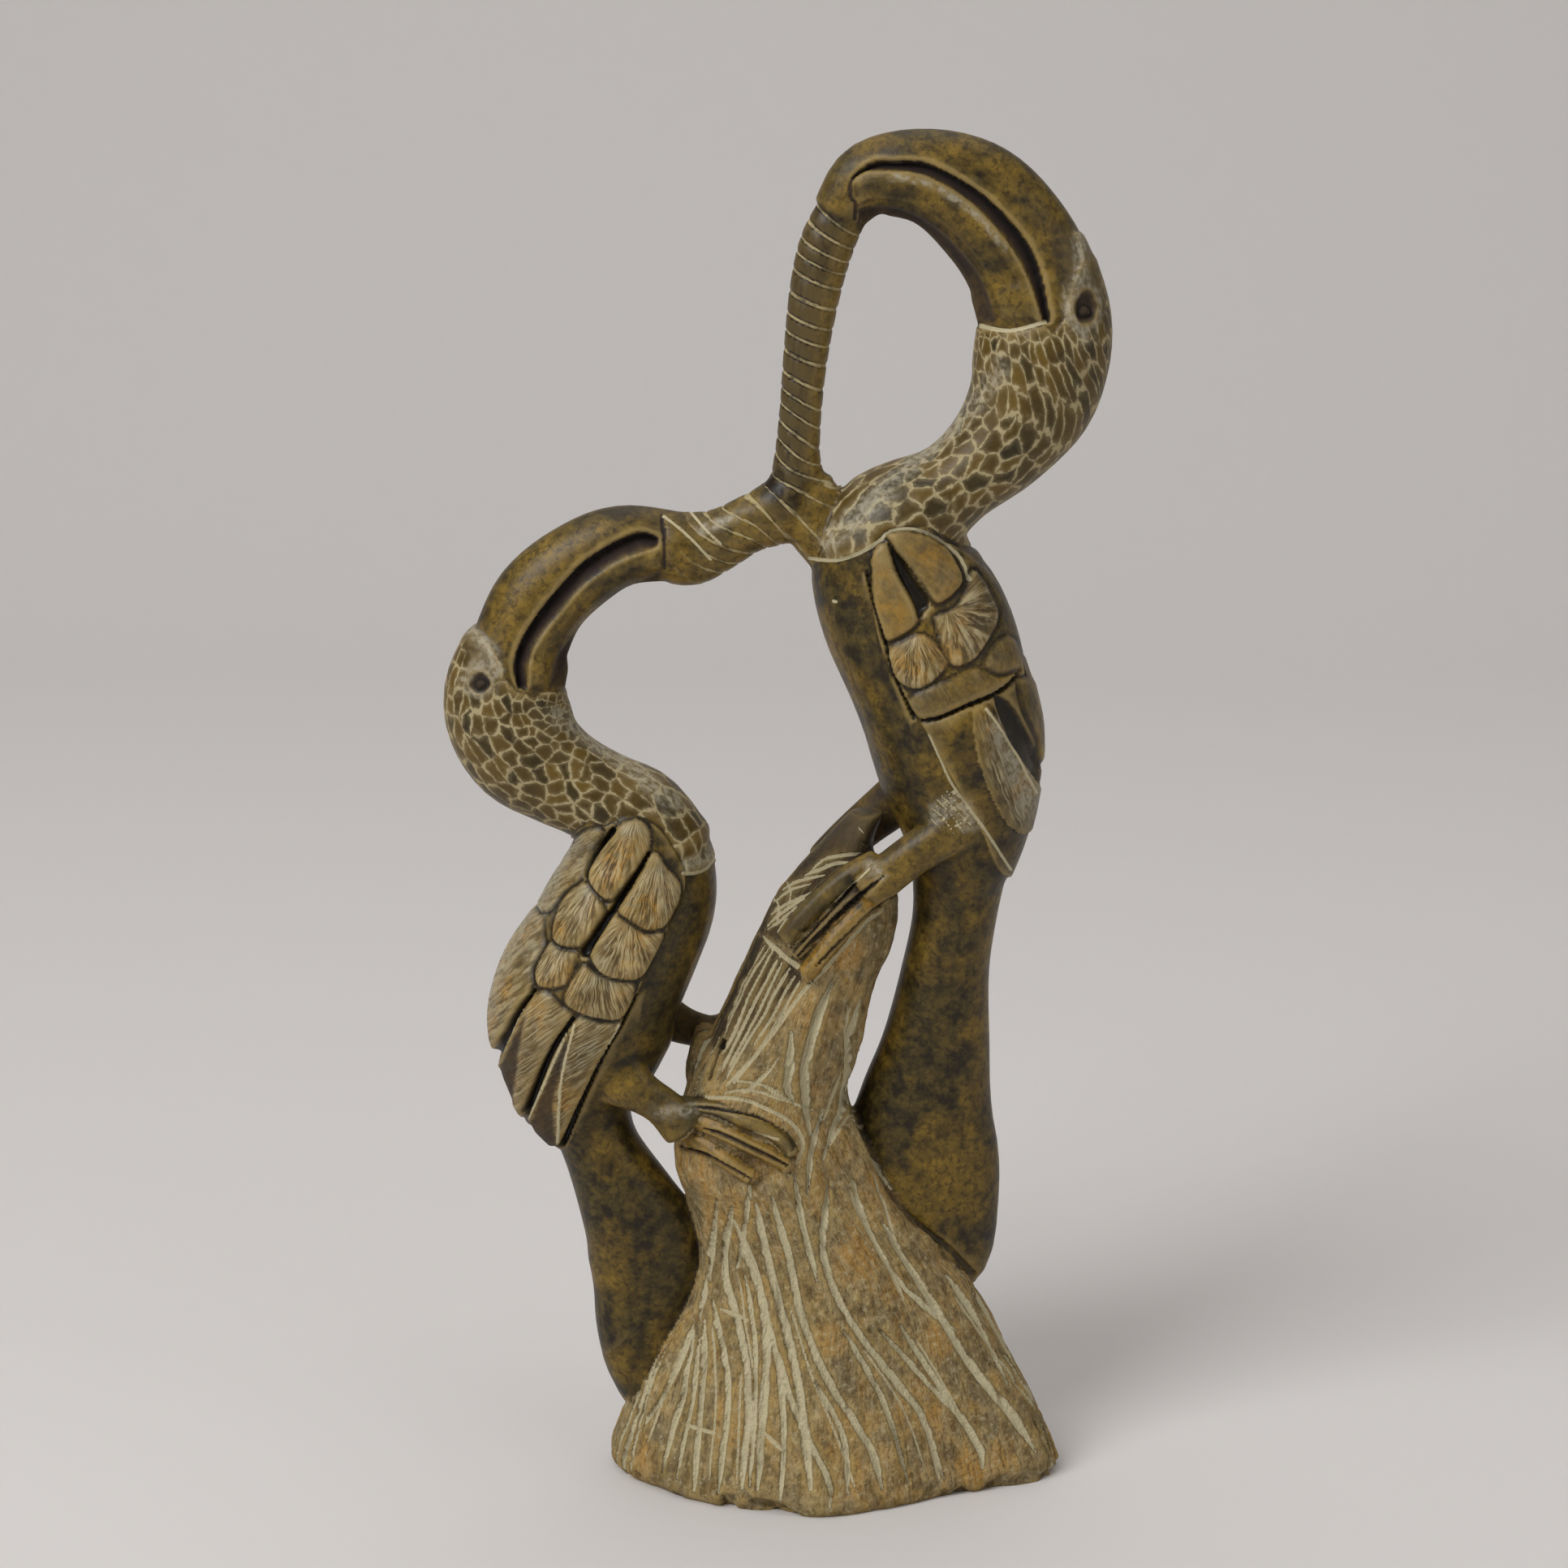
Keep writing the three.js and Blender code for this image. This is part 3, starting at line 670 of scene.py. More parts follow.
# Each mouth is its upper edge, its lower edge, and the edge of the underside
MOUTHS = [
    (
        [
            (3, 386.5), (6.5, 389.5), (10, 391), (21.5, 391), (27.5, 389), (34, 385.5), (40, 381.5),
            (45.5, 376.5), (50.5, 371), (54, 365.5), (56.5, 359), (58.5, 350), (59, 346),
        ],
        [
            (3, 386), (6, 388), (11, 388.5), (21.5, 387.5), (27.5, 385), (33.5, 381.5), (39, 377),
            (44.5, 371), (49, 365), (52.5, 358.5), (55, 352), (57, 346),
        ],
        [
            (4, 378), (6.5, 379), (13, 379), (19.5, 377.5), (26, 373.5), (31.5, 369), (36, 364),
            (40, 358.5), (42.5, 353), (44.5, 345.5),
        ],
    ),
    (
        [
            (-52, 284), (-55, 285.5), (-58.5, 285.5), (-64, 283), (-69, 280), (-74.5, 276), (-78, 272),
            (-82, 267.5), (-86, 262.5), (-89.5, 257.5), (-92, 253), (-93.5, 248.5), (-93.5, 243.5),
            (-92.5, 240),
        ],
        [
            (-52.5, 281), (-55, 280), (-59.5, 278.5), (-64, 276.5), (-68.5, 273.5), (-72.5, 270.5),
            (-76.5, 266.5), (-79.5, 262.5), (-83, 258.5), (-86, 254.5), (-88.5, 250), (-89.5, 245),
            (-90, 239.5),
        ],
        [
            (-50, 275.5), (-58.5, 271.5), (-65.5, 267.5), (-70.5, 263), (-74.5, 258.5), (-78.5, 254.5),
            (-81.5, 250.5), (-83.5, 245.5), (-84.5, 239.5),
        ],
    ),
]
BELOW_BEAK = [[(25, 340), (5, 365)], [(-68, 240), (-52, 262)]]
MOUTH_DEPTH = 3.8
LIP_RISE = 0.5
CHAMFER_DEPTH = 1.8
BEAK_TIP_LINES = [
    [(3, 386), (2.3, 384), (2.8, 381), (4.3, 379), (3.8, 375)],
    [(-51, 290.5), (-50.5, 286), (-50.5, 275)],
]
TIP_LINE_HALF_WIDTH = 0.45
TIP_LINE_DEPTH = 0.5
SKINS = [
    [
        (65, 371.5), (67.5, 364), (65, 357.5), (64, 354), (63, 347), (60.5, 343), (57.5, 345),
        (48, 343.5), (39.5, 344.5), (34, 343), (19.5, 313), (-3.5, 298.5), (-7.5, 289.5), (-9, 276.5),
        (-3, 277), (4, 279), (8.5, 280.5), (13.5, 285), (24, 287.5), (34, 282), (42, 280), (84.5, 308),
        (83, 368),
    ],
    [
        (-105.5, 259), (-102, 255), (-99, 251), (-97, 247), (-96, 242.5), (-93, 239), (-87.5, 237.5),
        (-86.5, 239), (-78.5, 239), (-64.5, 227.5), (-41, 213), (-31.5, 188.5), (-37.5, 187.5),
        (-41, 185), (-45, 184), (-46.5, 188), (-51.5, 198), (-56.5, 201), (-62.5, 201), (-77, 196),
        (-102.5, 200.5), (-121, 227.5), (-118, 256),
    ],
]
SKIN_STEP = 0.7
BARE_FACES = [
    (4.2, [(65.5, 370), (68, 360), (70, 349)]), (3.6, [(-104, 257), (-103, 250), (-103.5, 241)]),
]
# The net on each neck: how much longer its cells are along the neck, how much closer they sit at the
# chin, and where on the pattern it starts
NETS = {"tall neck": (1.5, 1.75, 0), "low neck": (1.15, 1.25, 40)}
# Eyes: x, z, the ball's radius, and the hollow's half width and half height
EYES = [(69, 349, 1.7, 3.0, 4.8), (-103.5, 241, 1.6, 2.9, 3.1)]
EYE_DEPTH = 1.5


def carve_beaks(face, work):
    sheet = face.sheet
    beaks = owned(face, "beak", "neck", "worm")
    for (upper, lower, under), below in zip(MOUTHS, BELOW_BEAK):
        top, sill, brow = (smooth_rows(line, 2.0) for line in (upper, lower, under))
        slot = inside(np.vstack([top, sill[::-1]]), sheet, reach=8.0, rounded=False)
        from_top, from_sill = away_from(top, sheet), away_from(sill, sheet)
        slope = (from_sill / (from_top + from_sill + 1e-6)) ** 0.6
        mouth = ease(slot, -0.35, 0.3) * slope * beaks
        lower_half = inside(np.vstack([sill, brow[::-1]]), sheet, reach=8.0, rounded=False)
        underside = inside(np.vstack([brow, below]), sheet, reach=12.0, rounded=False)
        underside[~beaks] = -12
        chamfer = ease(underside, 0, 3.5) * ease(np.abs(face.points[:, 1]), 1.5, 5)
        lip = ease(lower_half, 0, 2.5) * beaks
        work.height += LIP_RISE * lip - MOUTH_DEPTH * mouth - CHAMFER_DEPTH * chamfer
        # painted shade: near black in the mouth's deep core under the upper half, and a dark tint on its
        # slope and on the cut-back underside
        np.maximum(work.dark, ease(mouth, 0.62, 0.88), out=work.dark)
        for mark in (0.95 * ease(mouth, 0.1, 0.5), 0.7 * ease(underside, -0.6, 1.6)):
            np.maximum(work.dusk, mark, out=work.dusk)
        work.fine |= (np.abs(slot) < 1.3) & beaks
    tip_line = cut(strokes_mark([(TIP_LINE_HALF_WIDTH, line) for line in BEAK_TIP_LINES], sheet))
    tip_line *= owned(face, "beak", "worm")
    work.height -= TIP_LINE_DEPTH * tip_line
    # painted shade in the small cut lines at the beak tips
    np.maximum(work.dusk, 0.85 * tip_line, out=work.dusk)


def carve_skin(face, work):
    skin = np.full(len(face.sheet), -12.0)
    for outline in SKINS:
        skin = np.maximum(skin, inside(outline, face.sheet, rounded=False))
    skin = np.minimum(skin, np.where(face.wing > -12, -face.wing, 12))
    skin[~owned(face, "neck", "beak", "body")] = -12
    work.height += SKIN_STEP * ease(skin, -0.2, 0.7)
    work.fine |= np.abs(skin) < 0.9
    bare = np.zeros(len(skin))
    for reach, line in BARE_FACES:
        bare = np.maximum(bare, 1 - ease(away_from(line, face.sheet, 12.0), reach - 1.5, reach + 1.5))
    net = np.zeros((len(skin), 3))
    for name, (lengthen, chin, start) in NETS.items():
        reached, beside, across, fit = face.courses[name]
        here = owned(face, name) | (fit < 1.5)
        crowd = 1 + (chin - 1) * (1 - ease(reached[here], 10, 45))
        net[here, 0] = reached[here] / lengthen * (1 + 0.5 * (crowd - 1))
        net[here, 1] = 16 * np.abs(np.arctan2(across[here], beside[here])) * crowd
        net[here, 2] = start
    work.marks["skin"] = np.clip(skin, -4, 4)
    work.marks["bare"] = bare * (skin > -4)
    work.marks["net"] = net


def carve_eyes(face, work):
    beside_head = ~owned(face, "neck", "beak")
    tremble = 0.45 * np.stack([crumple(face.points, 2.5, seed) for seed in (11, 12)], axis=1)
    for x, z, ball, wide_hollow, tall_hollow in EYES:
        off = face.sheet - (x, z) + tremble
        hollow = np.hypot(off[:, 0] / wide_hollow, (off[:, 1] - 0.2 * tall_hollow) / tall_hollow)
        away = np.hypot(*off.T) / ball
        away[beside_head] = hollow[beside_head] = NOT_NEAR
        sunk = 1 - ease(hollow, 0.6, 1.1)
        round_ball = np.sqrt(np.clip(1 - away**2, 0, 1))
        work.height += -EYE_DEPTH * sunk + EYE_DEPTH * round_ball
        # painted shade: a dark tint in the eye hollow, and near black in the groove round the ball and on
        # the ball
        np.maximum(work.dusk, 0.75 * sunk, out=work.dusk)
        for mark in (0.8 * (1 - ease(np.abs(away - 1.05), 0.1, 0.35)), 0.55 * (away < 0.9)):
            np.maximum(work.dark, mark, out=work.dark)
        rim = 1 - ease(np.abs(hollow - 1.25), 0.08, 0.3)
        np.maximum(work.chalk, 0.8 * rim, out=work.chalk)
        work.fine |= hollow < 1.5


# Feet and worm
# Slits part the toes, which are left more golden than the legs, and fine rings circle the worm.

TOE_SLITS = [
    (0.5, [(-43, 113), (-33.5, 112), (-25.5, 110.5), (-19, 107.5)]),
    (0.8, [(-40, 106), (-32, 103), (-23, 98.5), (-15, 94.5)]),
    (0.6, [(-47, 100.5), (-39, 97.5), (-32, 93.5), (-25.5, 90)]),
    (0.4, [(6, 182.5), (-0.5, 175.5), (-7.5, 167.5), (-13, 161)]),
    (0.7, [(13, 183.5), (6, 177.5), (-2.5, 169), (-12, 159)]),
    (0.4, [(17, 178), (10.5, 173.5), (4.5, 167.5), (-1.5, 161.5), (-7.5, 155)]),
]
TOE_SLIT_DEPTH = 1.3
# The worm's rings: how far along, how many rings so far, and how much they slant
RING_COUNT = [(0, 0), (20, 4.8), (60, 12), (85, 17), (130, 25)]
RING_SLANT = [(0, 0.12), (45, 0.25), (72, 0.7), (90, 0.0), (102, -0.8), (130, -0.9)]
RING_DEPTH = 0.3


def carve_feet(face, work):
    slit = cut(strokes_mark(TOE_SLITS, face.sheet, tail=6)) * owned(face, "toe", "leg", "stump") * face.near
    work.height -= TOE_SLIT_DEPTH * slit
    # painted shade in the slits between the toes and on the far legs, which stand in shadow; also a darker
    # tint on the tall bird's near middle toe
    np.maximum(work.dark, 0.5 * slit, out=work.dark)
    for mark in (0.8 * slit, 0.35 * owned(face, "tall near toe 1"), 0.45 * owned(face, "far leg")):
        np.maximum(work.dusk, mark, out=work.dusk)
    golden = 1.5 * owned(face, "toe 2") + 1.3 * owned(face, "low near toe 1")
    np.maximum(work.ochre, golden + 0.3 * owned(face, "toe 1", "leg"), out=work.ochre)
    work.fine |= slit > 0


def carve_worm(face, work):
    reached, beside, across, _ = face.courses["worm"]
    worm = owned(face, "worm")
    place = reached + np.interp(reached, *zip(*RING_SLANT)) * beside + 0.12 * across
    rings = np.interp(place, *zip(*RING_COUNT)) + 0.09 * np.sin(place / 3.1)
    ringed = worm * (1.0 - 0.8 * ease(reached, 116, 119))
    groove = 1 - ease(np.abs(rings % 1 - 0.5) * 5, 0.25, 0.8)
    work.height -= RING_DEPTH * groove * ringed
    np.maximum(work.ochre, 0.8 * worm * ease(-beside, -2, 4) * face.near, out=work.ochre)
    work.marks["ring"] = rings
    work.marks["worm"] = ringed
    work.marks["shade"] = worm * ease(beside, -4.5, -0.5) * face.near * (1 - ease(reached, 88, 100))


# The stump's surface
# It is left from the chisel, with long strokes that hold pale stone dust. Its foot is worked to an
# uneven outline and its rim is chipped.

FOOTPRINT = [
    (68, 2), (64, -14.5), (36, -26), (14, -36), (-3, -42.5), (-25, -38.5), (-44, -29.5), (-57, -19),
    (-67.5, -3), (-65, 13), (-47, 27), (-20, 36), (6, 39), (36, 34), (59, 20),
]
ROUND_ABOVE = 84
# Chisel strokes on the front, each with its half width
STROKES = [
    (0.6, [(-46, 47), (-51, 36), (-57, 24), (-64, 12)]),
    (0.7, [(-44, 44), (-46.5, 37), (-51, 26), (-56, 17.5), (-62.5, 8)]),
    (0.8, [(-44, 42), (-46, 29), (-47.5, 20), (-51, 9.5), (-54.5, -4)]),
    (0.6, [(-42, 40), (-44, 22), (-47, 8), (-50, -6)]),
    (0.9, [(-40.5, 45.5), (-40.5, 33), (-41.5, 21), (-44, -10)]),
    (0.9, [(-38, 52), (-34, 31.5), (-33, 21), (-33.5, 10.5), (-36, -10.5)]),
    (1.1, [(-31.5, 81.5), (-34, 61.5), (-29, 39.5), (-26.5, 20), (-28.5, -9)]),
    (1.2, [(-31, 77), (-24, 57.5), (-21, 37), (-22, 13.5), (-23.5, -9)]),
    (0.7, [(-28, 60), (-25, 40), (-24.5, 20), (-26, -8)]),
    (1.2, [(-24.5, 82), (-20.5, 63), (-15, 42), (-10.5, 20), (-7.5, -8)]),
    (0.8, [(-21, 48), (-17, 28), (-15.5, 8), (-16.5, -12)]),
    (1.1, [(-19.5, 84.5), (-14, 63), (-9.5, 43.5), (-0.5, 22.5), (11, 3), (15, -10.5)]),
    (0.9, [(-17.5, 35.5), (-12, 16), (-2.5, -5), (-2, -14.5)]),
    (0.8, [(-6.5, 26.5), (2, 8), (3.5, -10.5)]), (0.9, [(2, 42), (15.5, 17.5), (25, -9)]),
    (0.8, [(9.5, 37), (28, 14.5), (39, -8)]), (0.8, [(13, 42), (30, 25), (41.5, 13.5)]),
    (0.8, [(5, 90), (8, 79), (17, 61), (27.5, 50), (37.5, 42)]),
    (1.0, [(14, 76), (27, 55.5), (39.5, 35.5), (55, 13.5), (62.5, 0.5)]),
    (0.8, [(33, 60), (46, 40.5), (57.5, 24.5)]),
    (1.0, [(20, 43.5), (34, 24.5), (41.5, 14.5), (48.5, 3.5), (50.5, -3.5)]),
    (1.0, [(-3, 88), (-4, 65.5), (4.5, 44.5), (21, 22.5), (29.5, 13.5), (37.5, -9)]),
    (1.2, [(-14, 136), (-14, 125.5), (-15, 119), (-12.5, 113)]),
    (1.3, [(-2, 151), (-6.5, 139), (-8.5, 130), (-10, 122), (-8, 104)]),
    (0.8, [(6.5, 146), (3.5, 134), (2.5, 122.5), (-1, 106), (-4, 96)]),
    (0.9, [(-4, 112), (-8, 97), (-9, 86)]), (0.9, [(-44, 76), (-41, 66), (-40, 56), (-42, 46)]),
    (0.8, [(-36, 84), (-37.5, 70), (-38.5, 58)]), (0.9, [(-13, 92), (-10, 74), (-6, 58)]),
    (0.8, [(-26, 90), (-28, 74), (-30, 62)]),
]
STROKE_DEPTH = 1.1
# Light scratches in the upper stump, round the feet and across the older strokes
SCRATCHES = [
    (0.6, [
        (13.5, 173), (7.5, 169), (1, 161.5), (-4, 155.5), (-10, 149), (-16, 140.5), (-23, 131),
        (-31, 120),
    ]),
    (0.75, [(-22.5, 165.5), (-15.5, 159), (-9, 153.5)]),
    (0.36, [(-21.5, 163), (-25, 157), (-28.5, 150), (-31, 143.5), (-34, 137)]),
    (0.4, [(-20, 162.5), (-24, 156), (-27.5, 149), (-31, 141), (-34, 134)]),
    (0.4, [(-19, 161.5), (-22.5, 154), (-26, 147), (-30, 137), (-34, 129)]),
    (0.45, [(-17, 159.5), (-20.5, 152.5), (-25, 144), (-30, 134), (-34.5, 124)]),
    (0.4, [(-16, 158), (-19, 151.5), (-23, 143), (-28, 134), (-33, 124)]),
    (0.45, [(-14, 156), (-18, 149), (-22, 141), (-27, 133), (-33.5, 121)]),
    (0.4, [(-12.5, 154), (-16, 148), (-20, 140), (-25, 132)]),
    (0.45, [(-10.5, 153), (-14, 147), (-19, 138), (-25, 128.5), (-33.5, 119)]),
    (0.4, [(-20.5, 124.5), (-25.5, 119.5), (-28.5, 116.5)]), (0.36, [(-17, 129), (-21, 123), (-26, 118)]),
    (0.4, [(-22, 119), (-17.5, 116.5), (-11, 113), (-6, 111.5)]),
    (0.36, [(-33, 121), (-24, 120), (-16, 117)]),
    (0.45, [(-33.5, 117), (-28.5, 118), (-22, 117), (-14, 114)]),
    (0.6, [
        (-43, 115.5), (-31, 115.5), (-23, 113), (-16, 109.5), (-12, 105.5), (-10.5, 100.5), (-12.5, 94.5),
    ]),
    (0.36, [(-39, 127), (-36.5, 131.5), (-35.5, 135)]), (0.3, [(5, 199), (8.5, 195.5)]),
    (0.3, [(5, 194.5), (9.5, 192)]), (0.55, [(7, 190.5), (1, 190), (-4, 189), (-6, 187.5)]),
    (0.6, [(3.5, 188), (-1.5, 187.5), (-5, 186), (-10, 184)]),
    (0.4, [(-1, 189.5), (-5, 188.5), (-8.5, 185)]),
    (0.5, [(-4, 184), (-9, 183), (-13.5, 181.5), (-16.5, 179.5)]),
    (0.4, [(-7.5, 181.5), (-11.5, 180.5), (-15, 179), (-19, 176)]),
    (0.5, [(-8, 179), (-11.5, 177), (-16, 175), (-20, 172)]),
    (0.5, [(-10, 177), (-14, 174.5), (-17.5, 172), (-21, 168.5)]),
    (0.45, [(-12, 174.5), (-15, 172), (-18.5, 169), (-21, 167.5)]),
    (0.4, [(-13.5, 172), (-16, 169.5), (-18, 166.5)]), (0.36, [(-16, 183), (-14, 179.5), (-14.5, 176)]),
    (0.36, [(-19.5, 178), (-17.5, 174), (-18, 170)]), (0.72, [(-35.5, 49), (-27, 45.5)]),
    (0.64, [(-48, 12), (-36, 8.5)]), (0.72, [(-22.5, 10.5), (-15, 3)]),
    (0.6, [(4, 87), (7, 79), (17, 60.5), (21.5, 51.5)]), (0.36, [(-30, 60), (-27.5, 42), (-25, 28)]),
    (0.45, [(42, 54), (53, 33), (61, 17)]), (0.36, [(10, 92), (17, 73), (26, 58), (33, 48)]),
    (0.36, [(36, 53), (47, 36), (58, 19)]), (0.36, [(25, 40), (36, 24), (46, 8)]),
    (0.36, [(8, 36), (22, 16), (31, -4)]), (0.36, [(-14, 50), (-8, 30), (0, 8), (6, -10)]),
    (0.36, [(-48, 36), (-53, 22), (-59, 6)]), (0.36, [(11, 139), (5, 118), (-2, 100)]),
    (0.36, [(-38, 44), (-37, 20), (-39, -6)]), (0.36, [(-29, 30), (-30, -8)]),
    (0.36, [(1, 123), (-1.5, 116.5), (-4, 108)]),
    (0.36, [(3.5, 144), (2.5, 134), (3.5, 122), (2.5, 108.5)]),
]
SCRATCH_DEPTH = 0.5
# The knob and the fan of scratches below it are stained dark
STAINS = [
    [
        (-24, 168), (-20, 177.5), (-13, 186.5), (-6, 193), (0, 200), (8, 208), (14, 200), (10, 190),
        (0, 185), (-8, 178.5), (-14.5, 171), (-17.5, 164),
    ],
    [(-23, 166), (-30, 156), (-36, 141), (-38, 131), (-31, 128), (-26, 133), (-17, 145), (-10.5, 153)],
]
PITS = [(1.1, [(-34, 133), (-34.5, 131.5)]), (0.6, [(-35, 130), (-38, 121.5)])]
PIT_DEPTH = 2.5
FLARE_EDGE = [
    (4.5, 113), (8.5, 103), (12, 94), (15, 86.5), (19.5, 80.5), (26, 74.5), (33, 68.5), (40.5, 60.5),
]
RIDGE_RISE = 1.3
FLARE_LINE_DEPTH = 0.7
CHIP_DEPTH = 1.8
# Clouds of ochre in the stone: how wide, then the middle
OCHRE_PATCHES = [
    (7, (4, 160)), (5, (-8, 141)), (8, (-38, 93)), (7, (-30, 76)), (5, (-18, 62)), (6, (6, 66)),
    (6, (-2, 40)), (4, (-58, 1)), (5, (22.5, 13)), (4, (16.5, 3.5)), (4, (46.5, -1.5)), (6, (33, 38)),
    (7, (26, 78)), (8, (35, 88)), (5, (-38, 99)), (5, (-30, 95)), (4, (-30, 103)), (5, (-3, 158)),
    (5, (-25, 95)), (9, (27, 240)), (8, (30, 218)), (8, (-72, 262)), (6, (-84, 246)), (9, (52, 362)),
    (8, (-93, 262)), (7, (-84, 271)), (6, (-65, 181)), (6, (17, 265)),
]
# Strokes on the sides and back, low ones from the foot and high ones: angle round the stump, foot, top
# and half width
by_hand = np.random.default_rng(4).uniform
SIDE_STROKES = [
    (turn + by_hand(-0.05, 0.05), 0, by_hand(25, 96), by_hand(0.6, 1.5))
    for turn in np.linspace(1.1, 2 * math.pi - 1.1, 38)
] + [
    (turn + by_hand(-0.1, 0.1), 88, by_hand(112, 172), by_hand(0.6, 1.3))
    for turn in np.linspace(1.2, 2 * math.pi - 1.2, 22)
]


def side_strokes(turn, around, heights):
    """Chisel strokes on the sides and back of the stump, by the angle round it."""
    drawn = np.zeros(len(turn))
    for place, foot, top, half_width in SIDE_STROKES:
        near = np.flatnonzero(np.abs(turn - place) < 0.35)
        z = heights[near]
        ends = (1 - ease(z, top - 14, top)) * (ease(z, foot, foot + 10) if foot else 1)
        away = np.abs(turn[near] - place - 0.04 * np.sin(z / 13 + 9 * place)) * around[near]
        narrow = half_width * (0.3 + 0.7 * ends) * np.minimum(1, around[near] / 55)
        mark = np.clip(1 - 0.5 * away / narrow, 0, 1) * (ends > 0)
        drawn[near] = np.maximum(drawn[near], mark)
    return drawn


def carve_stump(face, work):
    points, sheet = face.points, face.sheet
    bark = owned(face, "stump")
    aside = (points[:, 0] - face.middle) / face.wide
    turn = np.arctan2(aside, -points[:, 1] / face.deep) % (2 * math.pi)
    around = np.hypot(face.wide * np.cos(turn), face.deep * np.sin(turn))
    shown = face.near * (1 - ease(np.abs(aside), 0.88, 0.97)) > 0.5
    stroke = strokes_mark(STROKES, sheet, tail=9) * shown
    stroke = (stroke + side_strokes(turn, around, points[:, 2]) * ~shown) * bark
    scratch = strokes_mark(SCRATCHES, sheet, tail=4) * bark * face.near
    pit = strokes_mark(PITS, sheet) * bark * face.near
    flow = np.c_[28 * np.cos(turn), 28 * np.sin(turn), points[:, 2] / 7]
    folds = 0.9 * crumple(flow * [1, 1, 0.5], 6, 1) + 0.4 * crumple(flow, 3, 2)
    lumps = 0.45 * crumple(points, 8, 3) + 0.25 * crumple(points, 3, 4)
    calm = 1 - ease(points[:, 2], 176, 190)
    work.height += bark * calm * (folds + lumps) * (1 - 0.6 * cut(stroke))
    work.height -= STROKE_DEPTH * cut(stroke) + SCRATCH_DEPTH * cut(scratch) + PIT_DEPTH * cut(pit)
    flare = line_mark(1.0, FLARE_EDGE, sheet) * face.near
    ridge = line_mark(2.4, [(x - 2.4, z - 1.6) for x, z in FLARE_EDGE], sheet) * face.near * bark
    uneven = 0.6 + 0.8 * crumple(points, 6, 9)
    work.height += RIDGE_RISE * ridge * uneven - FLARE_LINE_DEPTH * cut(flare)
    # painted shade in the line under the flare's ridge, and near black in the pits
    for mark in (0.25 * cut(flare), cut(pit)):
        np.maximum(work.dark, mark, out=work.dark)
    chips = ease(crumple(points, 5, 5), 0.1, 0.55) * (1 - ease(points[:, 2], 2, 8))
    work.height -= CHIP_DEPTH * chips
    for size, spot in OCHRE_PATCHES:
        np.maximum(work.ochre, np.exp(-((np.hypot(*(sheet - spot).T) / size) ** 2)), out=work.ochre)
    knob = ease(points[:, 2] + 0.25 * points[:, 0], 190, 198)
    np.maximum(work.pale, scratch, out=work.pale)
    work.fine |= scratch > 0
    work.marks["polish"] = 1.0 - bark * (1 - 0.8 * knob)
    work.marks["stain"] = np.maximum(filled(STAINS, sheet, -1.5, 1.5), knob) * bark * face.near
    work.marks["flow"] = flow
    work.marks["dust"] = stroke


# Pale lines and chalk
# Single light cuts on the birds edge the wings and the skin, and chalky scratches and rubbed patches
# show where the wax has worn off. One chalky line, along the tall bird's lower mandible, is a painted
# highlight.

PALE_LINES = [
    (0.52, [(-9, 278), (-1, 277.5), (6.5, 280), (12, 283.5)]),
    (0.45, [(12, 283.5), (14.5, 286), (21, 286.5), (27.5, 284), (34, 277.5), (36.5, 271.5)]),
    (0.41, [(26, 226.5), (29.5, 218.5), (33, 211), (41, 200), (49.5, 186)]),
    (0.52, [(-46, 184.5), (-42.5, 184.5), (-38.5, 186), (-36, 190)]),
    (0.52, [(39.5, 344.8), (48, 343.5), (58, 346)]),
    (0.38, [(-50.5, 290.5), (-45, 286), (-40.5, 281.5), (-37, 277.5)]),
    (0.45, [(-1.9, 265.5), (-1.1, 265.3)]), (0.38, [(-43, 292), (-38.5, 286.5), (-34, 282)]),
    (0.2, [(28.5, 206.5), (32, 203), (36.5, 196.5)]), (0.24, [(29.5, 208), (34, 203.5), (38.5, 199)]),
    (0.2, [(31, 209.5), (35, 204.5), (37, 202.5)]), (0.24, [(32.5, 209), (36, 206.5), (40.5, 200)]),
    (0.2, [(27, 204), (30, 201.5), (34, 196)]), (0.18, [(28, 204.5), (31, 206), (33.5, 209)]),
    (0.2, [(30, 200.5), (33, 204), (36.5, 206)]), (0.18, [(33.5, 198.5), (36, 200), (39, 203.5)]),
    (0.18, [(36.5, 203.5), (38.5, 206)]), (0.2, [(26.5, 201.5), (29.5, 198)]),
    (0.4, [(-31, 106), (-24, 104.5), (-17.5, 102.5)]), (0.3, [(9, 186), (2, 179), (-3, 173.5)]),
]
PALE_LINE_DEPTH = 0.3
CHALK_AND_PAINTED_HIGHLIGHT = [
    (2.6, [(46, 333), (38.5, 322), (28.5, 311.5), (18, 302.5), (8.5, 294), (0, 285)]),
    (3.4, [(13, 297), (6, 291), (-3, 283)]), (2.0, [(66.5, 370), (67.5, 362), (65.5, 354)]),
    (2.2, [(-106, 257), (-101.5, 252), (-98.5, 246)]),
    # a painted highlight along the ridge of the tall bird's lower mandible
    (0.9, [(15, 387), (26, 384), (37, 377), (46, 367)]),
    (1.6, [(-108.5, 242), (-104, 246.5), (-99.5, 243)]), (1.4, [(63.5, 353), (65, 346), (69, 342)]),
    (3.0, [(-82, 232), (-70, 223), (-56, 212), (-48, 205)]),
    (5, [(-86, 176), (-96, 163), (-103, 149), (-106, 134)]), (3.2, [(-77, 192), (-85, 178)]),
    (3.4, [(29, 203), (34, 205), (38, 200)]), (3.6, [(46, 228), (51, 216), (54, 206)]),
    (2.4, [(-44, 187), (-39, 189), (-36, 193)]), (1.6, [(-31, 289.5), (-40, 286)]),
    (2.2, [(-53, 111), (-44, 112)]), (2.0, [(12, 184), (9, 187)]),
]


